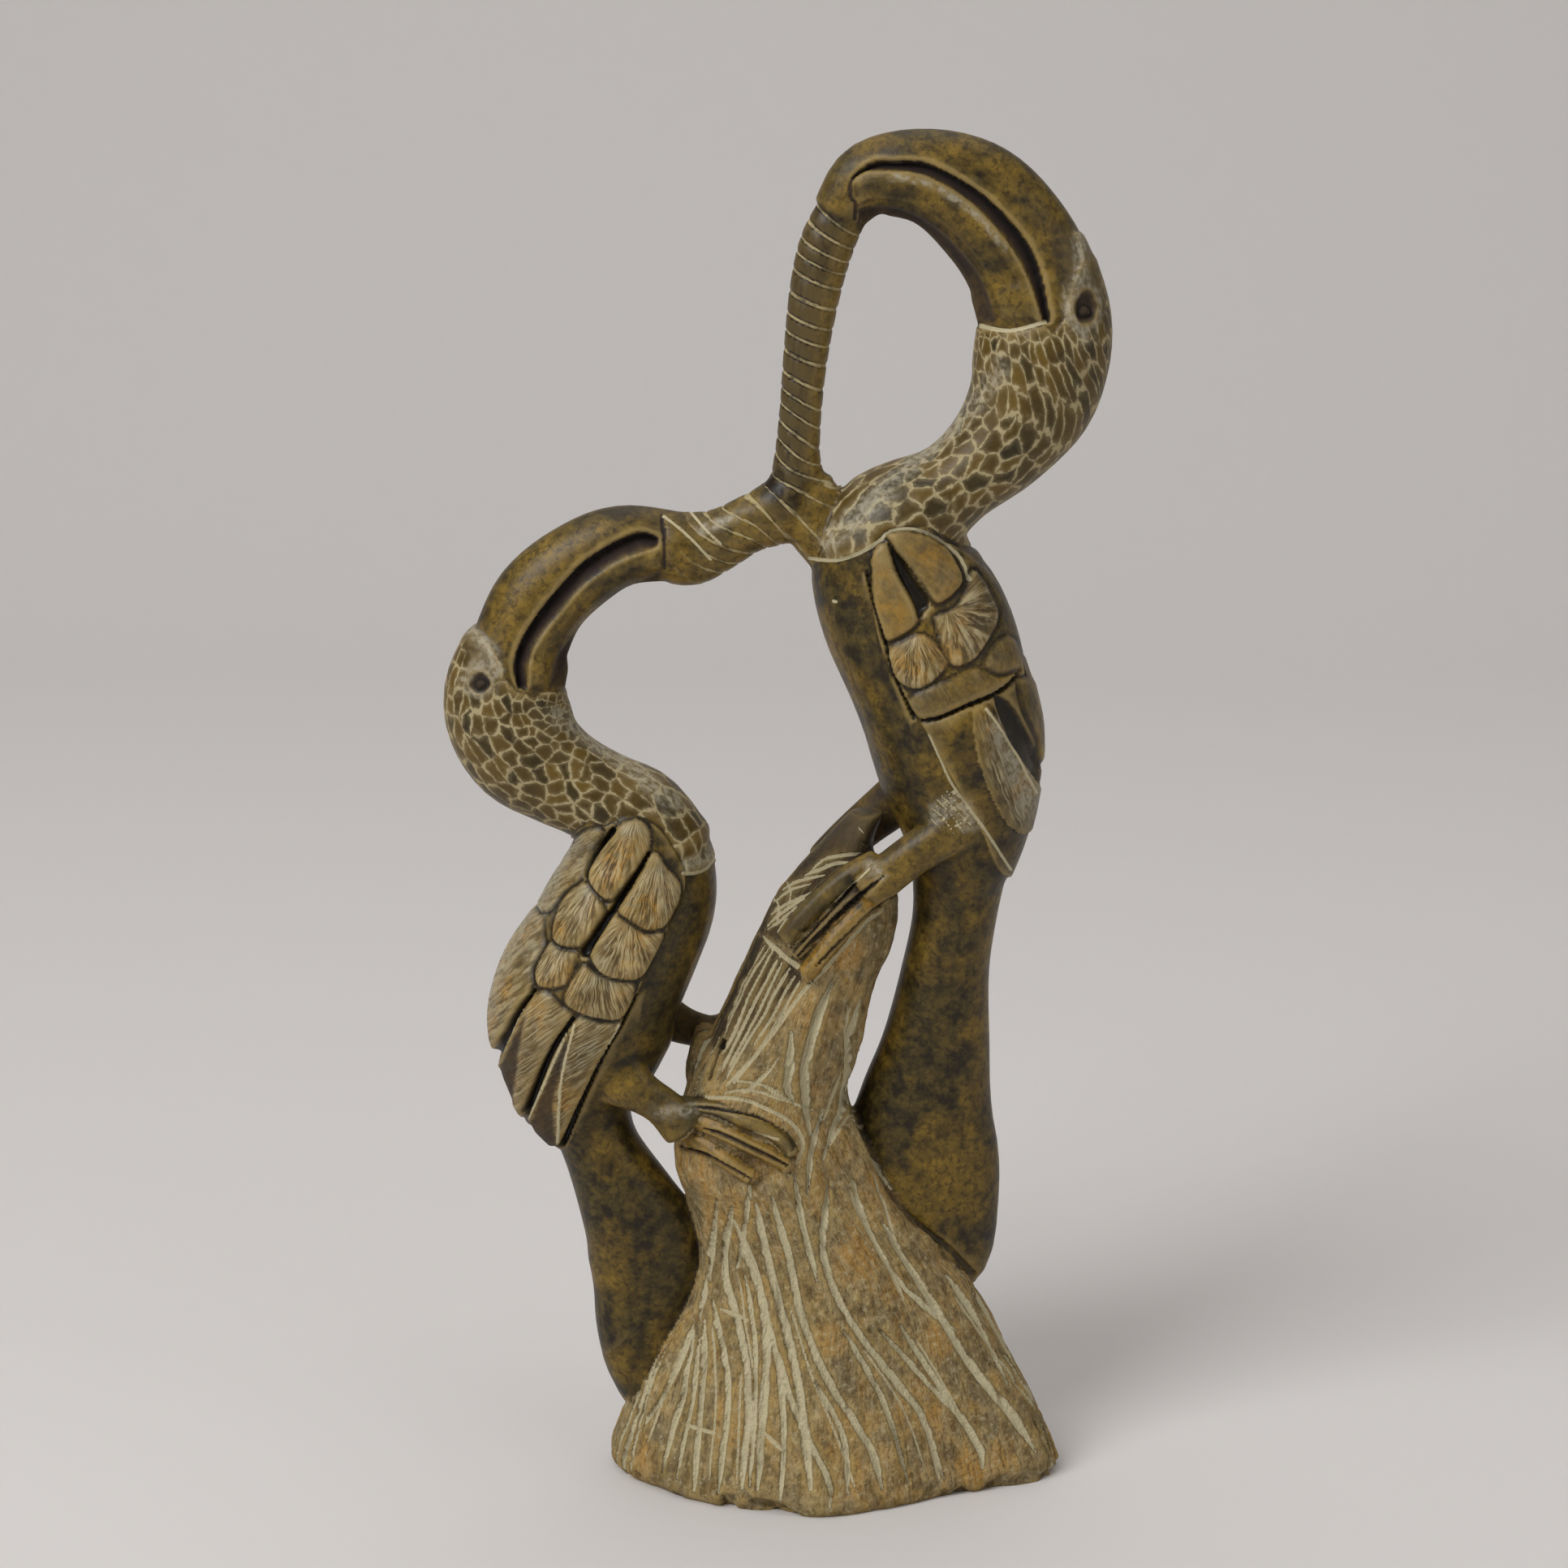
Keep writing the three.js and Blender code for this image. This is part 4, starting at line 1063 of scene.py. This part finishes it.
def draw_pale_lines(face, work):
    smooth = ~owned(face, "stump")
    for half_width, line in PALE_LINES:
        drawn = line_mark(half_width, line, face.sheet) * smooth
        work.height -= PALE_LINE_DEPTH * cut(drawn)
        work.fine |= drawn > 0
        np.maximum(work.pale, drawn, out=work.pale)
    for half_width, line in CHALK_AND_PAINTED_HIGHLIGHT:
        away = away_from(smooth_rows(line, 2.0), face.sheet)
        np.maximum(work.chalk, 1 - ease(away, 0.3 * half_width, 1.4 * half_width), out=work.chalk)


# The carving
# One pass over the skin gives each point the height it is cut or left at, in millimetres, and the
# marks that the stone's finish needs there.

TRIANGLES = 190000
FOOT_HALF_SIZE = [68, 40]


def carve(points):
    """The height of each point, which ones have fine detail, and the marks for the finish."""
    face = look_over(points)
    face.wing = wing_depth(face)
    work = SimpleNamespace(height=np.zeros(len(points)), fine=np.zeros(len(points), bool), marks={})
    shades = ("dark", "dusk", "ochre", "pale", "chalk")
    for shade in shades:
        setattr(work, shade, np.zeros(len(points)))
    for step in (carve_beaks, carve_skin, carve_eyes, carve_wings, carve_feet, carve_worm, carve_stump):
        step(face, work)
    draw_pale_lines(face, work)
    for shade in shades:
        work.marks[shade] = getattr(work, shade)
    return work


def read_vectors(rows, key):
    """A vector of each row, such as each vertex's place."""
    values = np.empty(3 * len(rows), np.float32)
    rows.foreach_get(key, values)
    return values.reshape(-1, 3).astype(float)


mesh = stone.data
blank_skin = read_vectors(mesh.vertices, "co") / MM
work = carve(blank_skin)
carved = blank_skin + read_vectors(mesh.vertex_normals, "vector") * work.height[:, None]

# the foot's outline
middle, wide, deep = stump_at(carved[:, 2])
across, inward = (carved[:, 0] - middle) / wide, carved[:, 1] / deep
turn = np.arctan2(inward, across) % (2 * math.pi)
corners = smooth_rows(FOOTPRINT[-2:] + FOOTPRINT + FOOTPRINT[:2], 2.0) / FOOT_HALF_SIZE
corner_turn = np.arctan2(corners[:, 1], corners[:, 0]) % (2 * math.pi)
order = np.argsort(corner_turn)
reach = np.interp(turn, corner_turn[order], np.hypot(*corners.T)[order], period=2 * math.pi)
grow = 1 + (reach - 1) * np.clip(1 - carved[:, 2] / ROUND_ABOVE, 0, 1)
stump_only = (np.hypot(across, inward) < 1.25) & (carved[:, 2] < ROUND_ABOVE)
grow = np.where(stump_only, grow, 1)
carved[:, 0] = middle + (carved[:, 0] - middle) * grow
carved[:, 1] *= grow
carved[:, 2] = np.maximum(carved[:, 2], 0)
mesh.vertices.foreach_set("co", (carved * MM).astype(np.float32).ravel())
mesh.update()

# how hollow the stone is at each point, since wax and dirt stay in hollows and edges wear pale; hollows
# also get painted shade and edges a painted highlight
edges = np.empty(2 * len(mesh.edges), np.int32)
mesh.edges.foreach_get("vertices", edges)
ends = np.r_[edges[::2], edges[1::2]]
others = np.r_[edges[1::2], edges[::2]]
count = np.bincount(ends, minlength=len(carved))[:, None]
normals = read_vectors(mesh.vertex_normals, "vector")
hollows = []
soft = carved.copy()
for rounds in (6, 34):
    for _ in range(rounds):
        mean = np.stack([np.bincount(ends, soft[others, axis], len(carved)) for axis in range(3)], axis=1)
        soft = 0.4 * soft + 0.6 * mean / count
    hollows.append(np.sum((soft - carved) * normals, axis=1))
hollow = np.clip(1.6 * hollows[0], -0.6, 0.6) + np.clip(0.35 * hollows[1], -0.08, 0.5)

# flat stretches are thinned, fine detail stays, and the marks are worked out again on what is left
carried = {"blank": blank_skin, "hollow": np.repeat(hollow[:, None], 3, axis=1)}
for name, values in carried.items():
    layer = mesh.attributes.new(name, "FLOAT_VECTOR", "POINT")
    layer.data.foreach_set("vector", values.astype(np.float32).ravel())
detail = stone.vertex_groups.new(name="detail")
detail.add(np.flatnonzero(work.fine).tolist(), 1.0, "REPLACE")
thinned = stone.modifiers.new("thinned", "DECIMATE")
thinned.ratio = TRIANGLES / (2 * len(mesh.polygons))
thinned.vertex_group = detail.name
thinned.invert_vertex_group = True
bpy.ops.object.modifier_apply(modifier=thinned.name)
stone.vertex_groups.clear()
mesh = stone.data
for name in carried:
    carried[name] = read_vectors(mesh.attributes[name].data, "vector")
    mesh.attributes.remove(mesh.attributes[name])
marks = carve(carried["blank"]).marks
marks["hollow"] = carried["hollow"][:, 0]
for name, values in marks.items():
    kind, key = ("FLOAT_VECTOR", "vector") if values.ndim == 2 else ("FLOAT", "value")
    layer = mesh.attributes.new(name, kind, "POINT")
    layer.data.foreach_set(key, values.astype(np.float32).ravel())
bpy.ops.object.shade_smooth()


# The stone's finish
# Serpentine, cut with hand chisels. The birds are rubbed smooth and waxed, so the stone shows dark olive
# with ochre clouds and black flecks. The stump is dry and grey brown, and cut lines hold pale dust.

# How far apart the stone's patterns repeat, in millimetres. The real grain is finer than the last one,
# which is drawn as coarse as it needs to be to show.
CLOUD, MOTTLE, FLECK, CRACKLE, SPECK = 16, 5, 1.9, 4.2, 1.2
# Streaks and fibres run down the stump, seven times as long as they are wide
STREAK, FIBRE = 1.6, 0.55
NET_CELL = 4.2
MATH, RANGE, MIX, NOISE = "ShaderNodeMath", "ShaderNodeMapRange", "ShaderNodeMix", "ShaderNodeTexNoise"
VORONOI, VECTOR_MATH = "ShaderNodeTexVoronoi", "ShaderNodeVectorMath"
# The sockets of a colour mix: how much of the upper colour, the under and upper colour, and the result
SHARE, UNDER, OVER, MIXED = 0, 6, 7, 2


def hexed(code):
    """An sRGB hex colour as linear red, green, blue and alpha."""
    parts = [int(code[i : i + 2], 16) / 255 for i in (1, 3, 5)]
    return [p / 12.92 if p <= 0.04045 else ((p + 0.055) / 1.055) ** 2.4 for p in parts] + [1.0]


serpentine = bpy.data.materials.new("serpentine, chiselled, rubbed and waxed")
serpentine.use_nodes = True
tree = serpentine.node_tree
tree.nodes.clear()


def add(kind, inputs=None, out=0, **settings):
    """Adds a node; each input takes a value or another node's output. Returns one output, or the node."""
    node = tree.nodes.new(kind)
    for name, value in settings.items():
        setattr(node, name, value)
    for key, value in (inputs or {}).items():
        if isinstance(value, bpy.types.NodeSocket):
            tree.links.new(value, node.inputs[key])
        else:
            node.inputs[key].default_value = value
    return node.outputs[out] if out is not None else node


place = add("ShaderNodeTexCoord", out="Object")
mark = {}
for name, values in marks.items():
    out = "Vector" if values.ndim == 2 else "Fac"
    mark[name] = add("ShaderNodeAttribute", out=out, attribute_name=name)
metre = 1 / MM
clouds = add(NOISE, {"Vector": place, "Scale": metre / CLOUD, "Detail": 3.0, "Roughness": 0.62})
mottle = add(NOISE, {"Vector": place, "Scale": metre / MOTTLE, "Detail": 4.0, "Roughness": 0.68})
fleck = add(NOISE, {"Vector": place, "Scale": metre / FLECK, "Detail": 2.0, "Roughness": 0.6})
cracks = add(VORONOI, {"Vector": place, "Scale": metre / CRACKLE}, feature="DISTANCE_TO_EDGE")
grain = add(NOISE, {"Vector": place, "Scale": metre / SPECK, "Detail": 2.0, "Roughness": 0.65})
streak = add(NOISE, {"Vector": mark["flow"], "Scale": 1 / STREAK, "Detail": 3.0, "Roughness": 0.62})
fibre = add(NOISE, {"Vector": mark["flow"], "Scale": 1 / FIBRE, "Detail": 2.0, "Roughness": 0.6})

# waxed stone: dark olive, ochre clouds, golden toes, black flecks and crackle, and the worm's shaded side
cloudy = add(MATH, {0: mark["ochre"], 1: 0.2, 2: clouds}, operation="MULTIPLY_ADD")
cloudy = add(RANGE, {"Value": cloudy, "From Min": 0.46, "From Max": 0.66})
mottled = add(RANGE, {"Value": mottle, "From Min": 0.4, "From Max": 0.6})
ochre_part = add(MATH, {0: mottled, 1: 0.5, 2: 0.5}, operation="MULTIPLY_ADD")
ochre_part = add(MATH, {0: cloudy, 1: ochre_part}, operation="MULTIPLY")
golden = add(RANGE, {"Value": mark["ochre"], "From Min": 1.0, "From Max": 1.5, "To Max": 0.5})
golden = add(MATH, {0: golden, 1: ochre_part}, operation="MULTIPLY")
flecked = add(RANGE, {"Value": fleck, "From Min": 0.52, "From Max": 0.62, "To Max": 0.5})
crackle = add(RANGE, {"Value": cracks, "From Min": 0.02, "From Max": 0.12, "To Min": 0.35, "To Max": 0.0})
crackle = add(MATH, {0: crackle, 1: mottled}, operation="MULTIPLY")
shaded = add(MATH, {0: mark["shade"], 1: 0.88}, operation="MULTIPLY")
waxed = add(MIX, {SHARE: mottled, UNDER: hexed("#231c0d"), OVER: hexed("#54461e")}, MIXED, data_type="RGBA")
for share, code in (
    (ochre_part, "#7f6523"), (golden, "#a3792b"), (flecked, "#150f06"), (crackle, "#1a1308"),
    (shaded, "#1a1209"),
):
    waxed = add(MIX, {SHARE: share, UNDER: waxed, OVER: hexed(code)}, MIXED, data_type="RGBA")

# dry stone of the stump: tan with ochre and weathered patches, grainy, with pale and dark streaks
orange_part = add(MATH, {0: cloudy, 1: 0.75}, operation="MULTIPLY")
weathered = add(RANGE, {"Value": clouds, "From Min": 0.5, "From Max": 0.36, "To Max": 0.5})
streaked = add(RANGE, {"Value": streak, "From Min": 0.36, "From Max": 0.64})
grey_part = add(MATH, {0: streaked, 1: 0.5}, operation="MULTIPLY")
fibred = add(RANGE, {"Value": fibre, "From Min": 0.34, "From Max": 0.46, "To Min": 0.55, "To Max": 0.0})
specks = add(RANGE, {"Value": fleck, "From Min": 0.56, "From Max": 0.7, "To Max": 0.5})
chalky = add(RANGE, {"Value": fleck, "From Min": 0.44, "From Max": 0.32, "To Max": 0.4})
dry = add(MIX, {SHARE: mottled, UNDER: hexed("#5f4d2c"), OVER: hexed("#aa8f59")}, MIXED, data_type="RGBA")
for share, code in (
    (orange_part, "#b0853f"), (weathered, "#57492c"), (grey_part, "#a39674"), (fibred, "#4a3c22"),
    (specks, "#4d3b20"), (chalky, "#c8bb94"),
):
    dry = add(MIX, {SHARE: share, UNDER: dry, OVER: hexed(code)}, MIXED, data_type="RGBA")
colour = add(MIX, {SHARE: mark["polish"], UNDER: dry, OVER: waxed}, MIXED, data_type="RGBA")
stained = add(MATH, {0: mark["stain"], 1: 0.85}, operation="MULTIPLY")

# neck net: cells longer along the tall neck, with pale scratched borders
waver = add(NOISE, {"Vector": place, "Scale": metre / MOTTLE, "Detail": 2.0}, "Color")
waver = add(VECTOR_MATH, {0: waver, 1: (2.6, 2.6, 0)}, operation="MULTIPLY")
wavy_net = add(VECTOR_MATH, {0: mark["net"], 1: waver}, operation="ADD")
cells = {"Vector": wavy_net, "Scale": 1 / NET_CELL, "Randomness": 0.75}
border = add(VORONOI, cells, feature="DISTANCE_TO_EDGE", voronoi_dimensions="2D")
cell_tone = add(VORONOI, cells, "Color", feature="F1", voronoi_dimensions="2D")
border = add(MATH, {0: mottle, 1: -0.2, 2: border}, operation="MULTIPLY_ADD")
border = add(MATH, {0: fleck, 1: -0.3, 2: border}, operation="MULTIPLY_ADD")
net_line = add(RANGE, {"Value": border, "From Min": -0.21, "From Max": -0.15, "To Min": 1.0, "To Max": 0.0})
net_ground = add(RANGE, {"Value": border, "From Min": -0.2, "From Max": 0.02, "To Min": 0.3, "To Max": 0.0})
net_line = add(MATH, {0: net_line, 1: net_ground}, operation="MAXIMUM")
plain = add(MATH, {0: 1.0, 1: mark["bare"]}, operation="SUBTRACT")
on_skin = add(RANGE, {"Value": mark["skin"], "From Min": 0.0, "From Max": 0.4})
on_skin = add(MATH, {0: on_skin, 1: plain}, operation="MULTIPLY")
net_line = add(MATH, {0: net_line, 1: on_skin}, operation="MULTIPLY")
net_wear = add(RANGE, {"Value": mottle, "From Min": 0.36, "From Max": 0.56, "To Min": 0.5, "To Max": 1.0})
net_line = add(MATH, {0: net_line, 1: net_wear}, operation="MULTIPLY")
cell_tone = add("ShaderNodeSeparateColor", {0: cell_tone})
patch = {SHARE: cell_tone, UNDER: hexed("#2c240e"), OVER: hexed("#6a531f")}
patch = add(MIX, patch, MIXED, data_type="RGBA")
patch_share = add(MATH, {0: on_skin, 1: 0.75}, operation="MULTIPLY")
face_share = add(MATH, {0: mark["bare"], 1: chalky, 2: 0.3}, operation="MULTIPLY_ADD")
face_share = add(MATH, {0: mark["bare"], 1: face_share}, operation="MULTIPLY")

# feather barbs: hand scratches about 1 mm apart, with longer uneven ones between
barb_parts = add("ShaderNodeSeparateXYZ", {0: mark["barb"]}, None).outputs
barb_shift = add(MATH, {0: mottle, 1: 1.4, 2: barb_parts[0]}, operation="MULTIPLY_ADD")
barb_wave = add(MATH, {0: barb_shift, 1: 0.5}, operation="PINGPONG")
barb_cut = {"Value": barb_wave, "From Min": 0.06, "From Max": 0.24, "To Min": 0.7, "To Max": 0.0}
barb_cut = add(RANGE, barb_cut)
barb_along = add(MATH, {0: barb_parts[1], 1: 0.13}, operation="MULTIPLY")
barb_place = add("ShaderNodeCombineXYZ", {0: barb_shift, 1: barb_along, 2: barb_parts[2]})
scratchy = add(NOISE, {"Vector": barb_place, "Scale": 1.3, "Detail": 2.0, "Roughness": 0.6})
long_cut = add(RANGE, {"Value": scratchy, "From Min": 0.46, "From Max": 0.4})
barb_gate = add(RANGE, {"Value": scratchy, "From Min": 0.62, "From Max": 0.5})
barb_cut = add(MATH, {0: barb_cut, 1: barb_gate}, operation="MULTIPLY")
barb_cut = add(MATH, {0: barb_cut, 1: long_cut}, operation="MAXIMUM")
barb_cut = add(MATH, {0: barb_cut, 1: mark["barbed"]}, operation="MULTIPLY")
barb_pale = add(RANGE, {"Value": scratchy, "From Min": 0.5, "From Max": 0.64, "To Max": 0.6})
barb_pale = add(MATH, {0: barb_pale, 1: mark["barbed"]}, operation="MULTIPLY")
feather = {SHARE: cloudy, UNDER: hexed("#90866a"), OVER: hexed("#aa7f35")}
feather = add(MIX, feather, MIXED, data_type="RGBA")
feather = {SHARE: mottled, UNDER: hexed("#75623a"), OVER: feather}
feather = add(MIX, feather, MIXED, data_type="RGBA")

# worm rings: pale cuts under 1 mm wide
ring_wave = add(MATH, {0: mark["ring"], 1: 0.5}, operation="PINGPONG")
ring_line = add(RANGE, {"Value": ring_wave, "From Min": 0.4, "From Max": 0.45})
ring_line = add(MATH, {0: ring_line, 1: mark["worm"]}, operation="MULTIPLY")
ring_gaps = add(RANGE, {"Value": mottle, "From Min": 0.36, "From Max": 0.54, "To Min": 0.2})
ring_line = add(MATH, {0: ring_line, 1: ring_gaps}, operation="MULTIPLY")

# old wax and dirt in the hollows with painted shade, worn edges with a painted highlight, painted shade
# along the strokes' edges, dust in the strokes and chalk in the skin
dirt_and_painted_shade = add(RANGE, {"Value": mark["hollow"], "From Min": 0.06, "From Max": 0.7, "To Max": 0.65})
wear_and_painted_highlight = add(RANGE, {"Value": mark["hollow"], "From Min": -0.12, "From Max": -0.5, "To Max": 0.55})
ragged = add(MATH, {0: fleck, 1: 0.3, 2: -0.15}, operation="MULTIPLY_ADD")
stroke_part = add(MATH, {0: streak, 1: 0.8, 2: -0.4}, operation="MULTIPLY_ADD")
stroke_part = add(MATH, {0: stroke_part, 1: ragged}, operation="ADD")
stroke_part = add(MATH, {0: mark["dust"], 1: stroke_part}, operation="ADD")
# painted shade: a dark rim along the edge of each stroke
stroke_rim_painted_shade = add(RANGE, {"Value": stroke_part, "From Min": 0.22, "From Max": 0.42, "To Max": 0.5})
stroke_part = add(RANGE, {"Value": stroke_part, "From Min": 0.4, "From Max": 0.6})
dusty = add(RANGE, {"Value": streak, "From Min": 0.25, "From Max": 0.5, "To Min": 0.45, "To Max": 0.95})
dusty = add(MATH, {0: dusty, 1: stroke_part}, operation="MULTIPLY")
chalk_and_highlight_vein = add(RANGE, {"Value": fleck, "From Min": 0.4, "From Max": 0.6, "To Min": 0.15, "To Max": 0.72})
chalk_and_highlight_vein = add(MATH, {0: chalk_and_highlight_vein, 1: mark["chalk"]}, operation="MULTIPLY")
pale_part = add(MATH, {0: mark["pale"], 1: ragged}, operation="ADD")
pale_part = add(RANGE, {"Value": pale_part, "From Min": 0.4, "From Max": 0.58, "To Max": 0.9})

# each layer covers part of the stone below it: a share, then its colour
# some layers are painted shade in hollows, cuts, slits, undersides and the far legs, and a painted
# highlight on worn edges
LAYERS = [
    (stained, hexed("#2b2016")), (patch_share, patch), (net_line, hexed("#a89a74")),
    (face_share, hexed("#73603c")), (mark["plume"], feather), (barb_pale, hexed("#c4b990")),
    (barb_cut, hexed("#3f321b")),
    (ring_line, hexed("#ab9c72")), (dirt_and_painted_shade, hexed("#1a140b")), (wear_and_painted_highlight, hexed("#a48d58")),
    (mark["dusk"], hexed("#2c2120")), (stroke_rim_painted_shade, hexed("#3f3220")), (dusty, hexed("#c6bc99")),
    (chalk_and_highlight_vein, hexed("#aba38c")), (pale_part, hexed("#bfb490")), (mark["dark"], hexed("#0f0b07")),
]
for share, layer in LAYERS:
    colour = add(MIX, {SHARE: share, UNDER: colour, OVER: layer}, MIXED, data_type="RGBA")

# grain too fine for the mesh, up to 0.3 mm deep on the dry stone
cuts = add(MATH, {0: net_line, 1: barb_cut}, operation="MAXIMUM")
cuts = add(MATH, {0: cuts, 1: ring_line}, operation="MAXIMUM")
rough_part = add(RANGE, {"Value": mark["polish"], "To Min": 0.9, "To Max": 0.1})
relief = add(MATH, {0: grain, 1: fibre}, operation="ADD")
relief = add(MATH, {0: relief, 1: rough_part}, operation="MULTIPLY")
bumped = add("ShaderNodeBump", {"Height": relief, "Distance": 0.0008, "Strength": 0.9})
gloss = add(RANGE, {"Value": mark["polish"], "To Min": 0.8, "To Max": 0.33})
for rougher, amount in ((cuts, 0.3), (mark["dusk"], 0.45), (mottle, 0.16)):
    gloss = add(MATH, {0: rougher, 1: amount, 2: gloss}, operation="MULTIPLY_ADD")
finish = {"Base Color": colour, "Roughness": gloss, "Normal": bumped}
finish |= {"IOR": 1.45, "Specular IOR Level": 0.35}
finish = add("ShaderNodeBsdfPrincipled", finish)
add("ShaderNodeOutputMaterial", {"Surface": finish}, None)
mesh.materials.clear()
mesh.materials.append(serpentine)
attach(stone, "root")
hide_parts("hornbill_carving")


# The studio
# A pale cloth floor that sweeps up into a wall behind, under a broad soft light from the upper left.

FLOOR_SIZE = 7.0
WALL_HEIGHT = 3
SWEEP = 0.9
# Each light: name, place, size and power
LIGHTS = [
    ("window", (-1.2, -1.2, 1.6), 1.1, 34),
    ("fill", (1.5, -1.2, 0.9), 1.6, 6.5),
    ("sky", (-0.1, 0.2, 2.2), 2.2, 14.5),
]
LIT_POINT = np.array([0, 0, 0.2])

bpy.ops.object.select_all(action="DESELECT")
bpy.ops.mesh.primitive_plane_add(size=FLOOR_SIZE, location=(0, -1.5, 0))
backdrop = bpy.context.object
backdrop.name = "backdrop"


def select_back_edge():
    corners = backdrop.data.vertices
    for edge in backdrop.data.edges:
        edge.select = all(corners[v].co.y > 0 and corners[v].co.z < 1 for v in edge.vertices)
    bpy.ops.object.mode_set(mode="EDIT")


select_back_edge()
bpy.ops.mesh.select_mode(type="EDGE")
bpy.ops.mesh.extrude_region_move()
bpy.ops.transform.translate(value=(0, 0, WALL_HEIGHT))
bpy.ops.object.mode_set(mode="OBJECT")
select_back_edge()
bpy.ops.mesh.bevel(offset=SWEEP, segments=24, affect="EDGES")
bpy.ops.mesh.normals_make_consistent(inside=False)
bpy.ops.object.mode_set(mode="OBJECT")
bpy.ops.object.shade_smooth()
bpy.ops.object.transform_apply()
paper = bpy.data.materials.new("pale cotton backdrop")
paper.use_nodes = True
paper.node_tree.nodes["Principled BSDF"].inputs["Base Color"].default_value = hexed("#dcd9d7")
paper.node_tree.nodes["Principled BSDF"].inputs["Roughness"].default_value = 0.95
backdrop.data.materials.append(paper)

for name, spot, size, power in LIGHTS:
    bpy.ops.object.light_add(type="AREA", location=spot)
    lamp = bpy.context.object
    lamp.name = name
    lamp.data.size = size
    lamp.data.energy = power
    aim = LIT_POINT - spot
    lamp.rotation_euler = (math.atan2(np.hypot(*aim[:2]), -aim[2]), 0, math.atan2(-aim[0], aim[1]))

world = bpy.data.worlds.new("soft room")
bpy.context.scene.world = world
world.use_nodes = True
world.node_tree.nodes["Background"].inputs["Color"].default_value = hexed("#e8e6e4")
world.node_tree.nodes["Background"].inputs["Strength"].default_value = 0.22
bpy.context.scene.view_settings.view_transform = "Standard"

# the camera stands where the picture was taken from, above the stone, and looks down by 14 degrees
CAMERA_TURN = math.radians(90 - 14)
bpy.ops.object.camera_add(location=(-0.016, -1.16436, 0.50171), rotation=(CAMERA_TURN, 0, 0))
camera = bpy.context.object
camera.data.lens = 94.86
camera.data.sensor_width = 36
bpy.context.scene.camera = camera
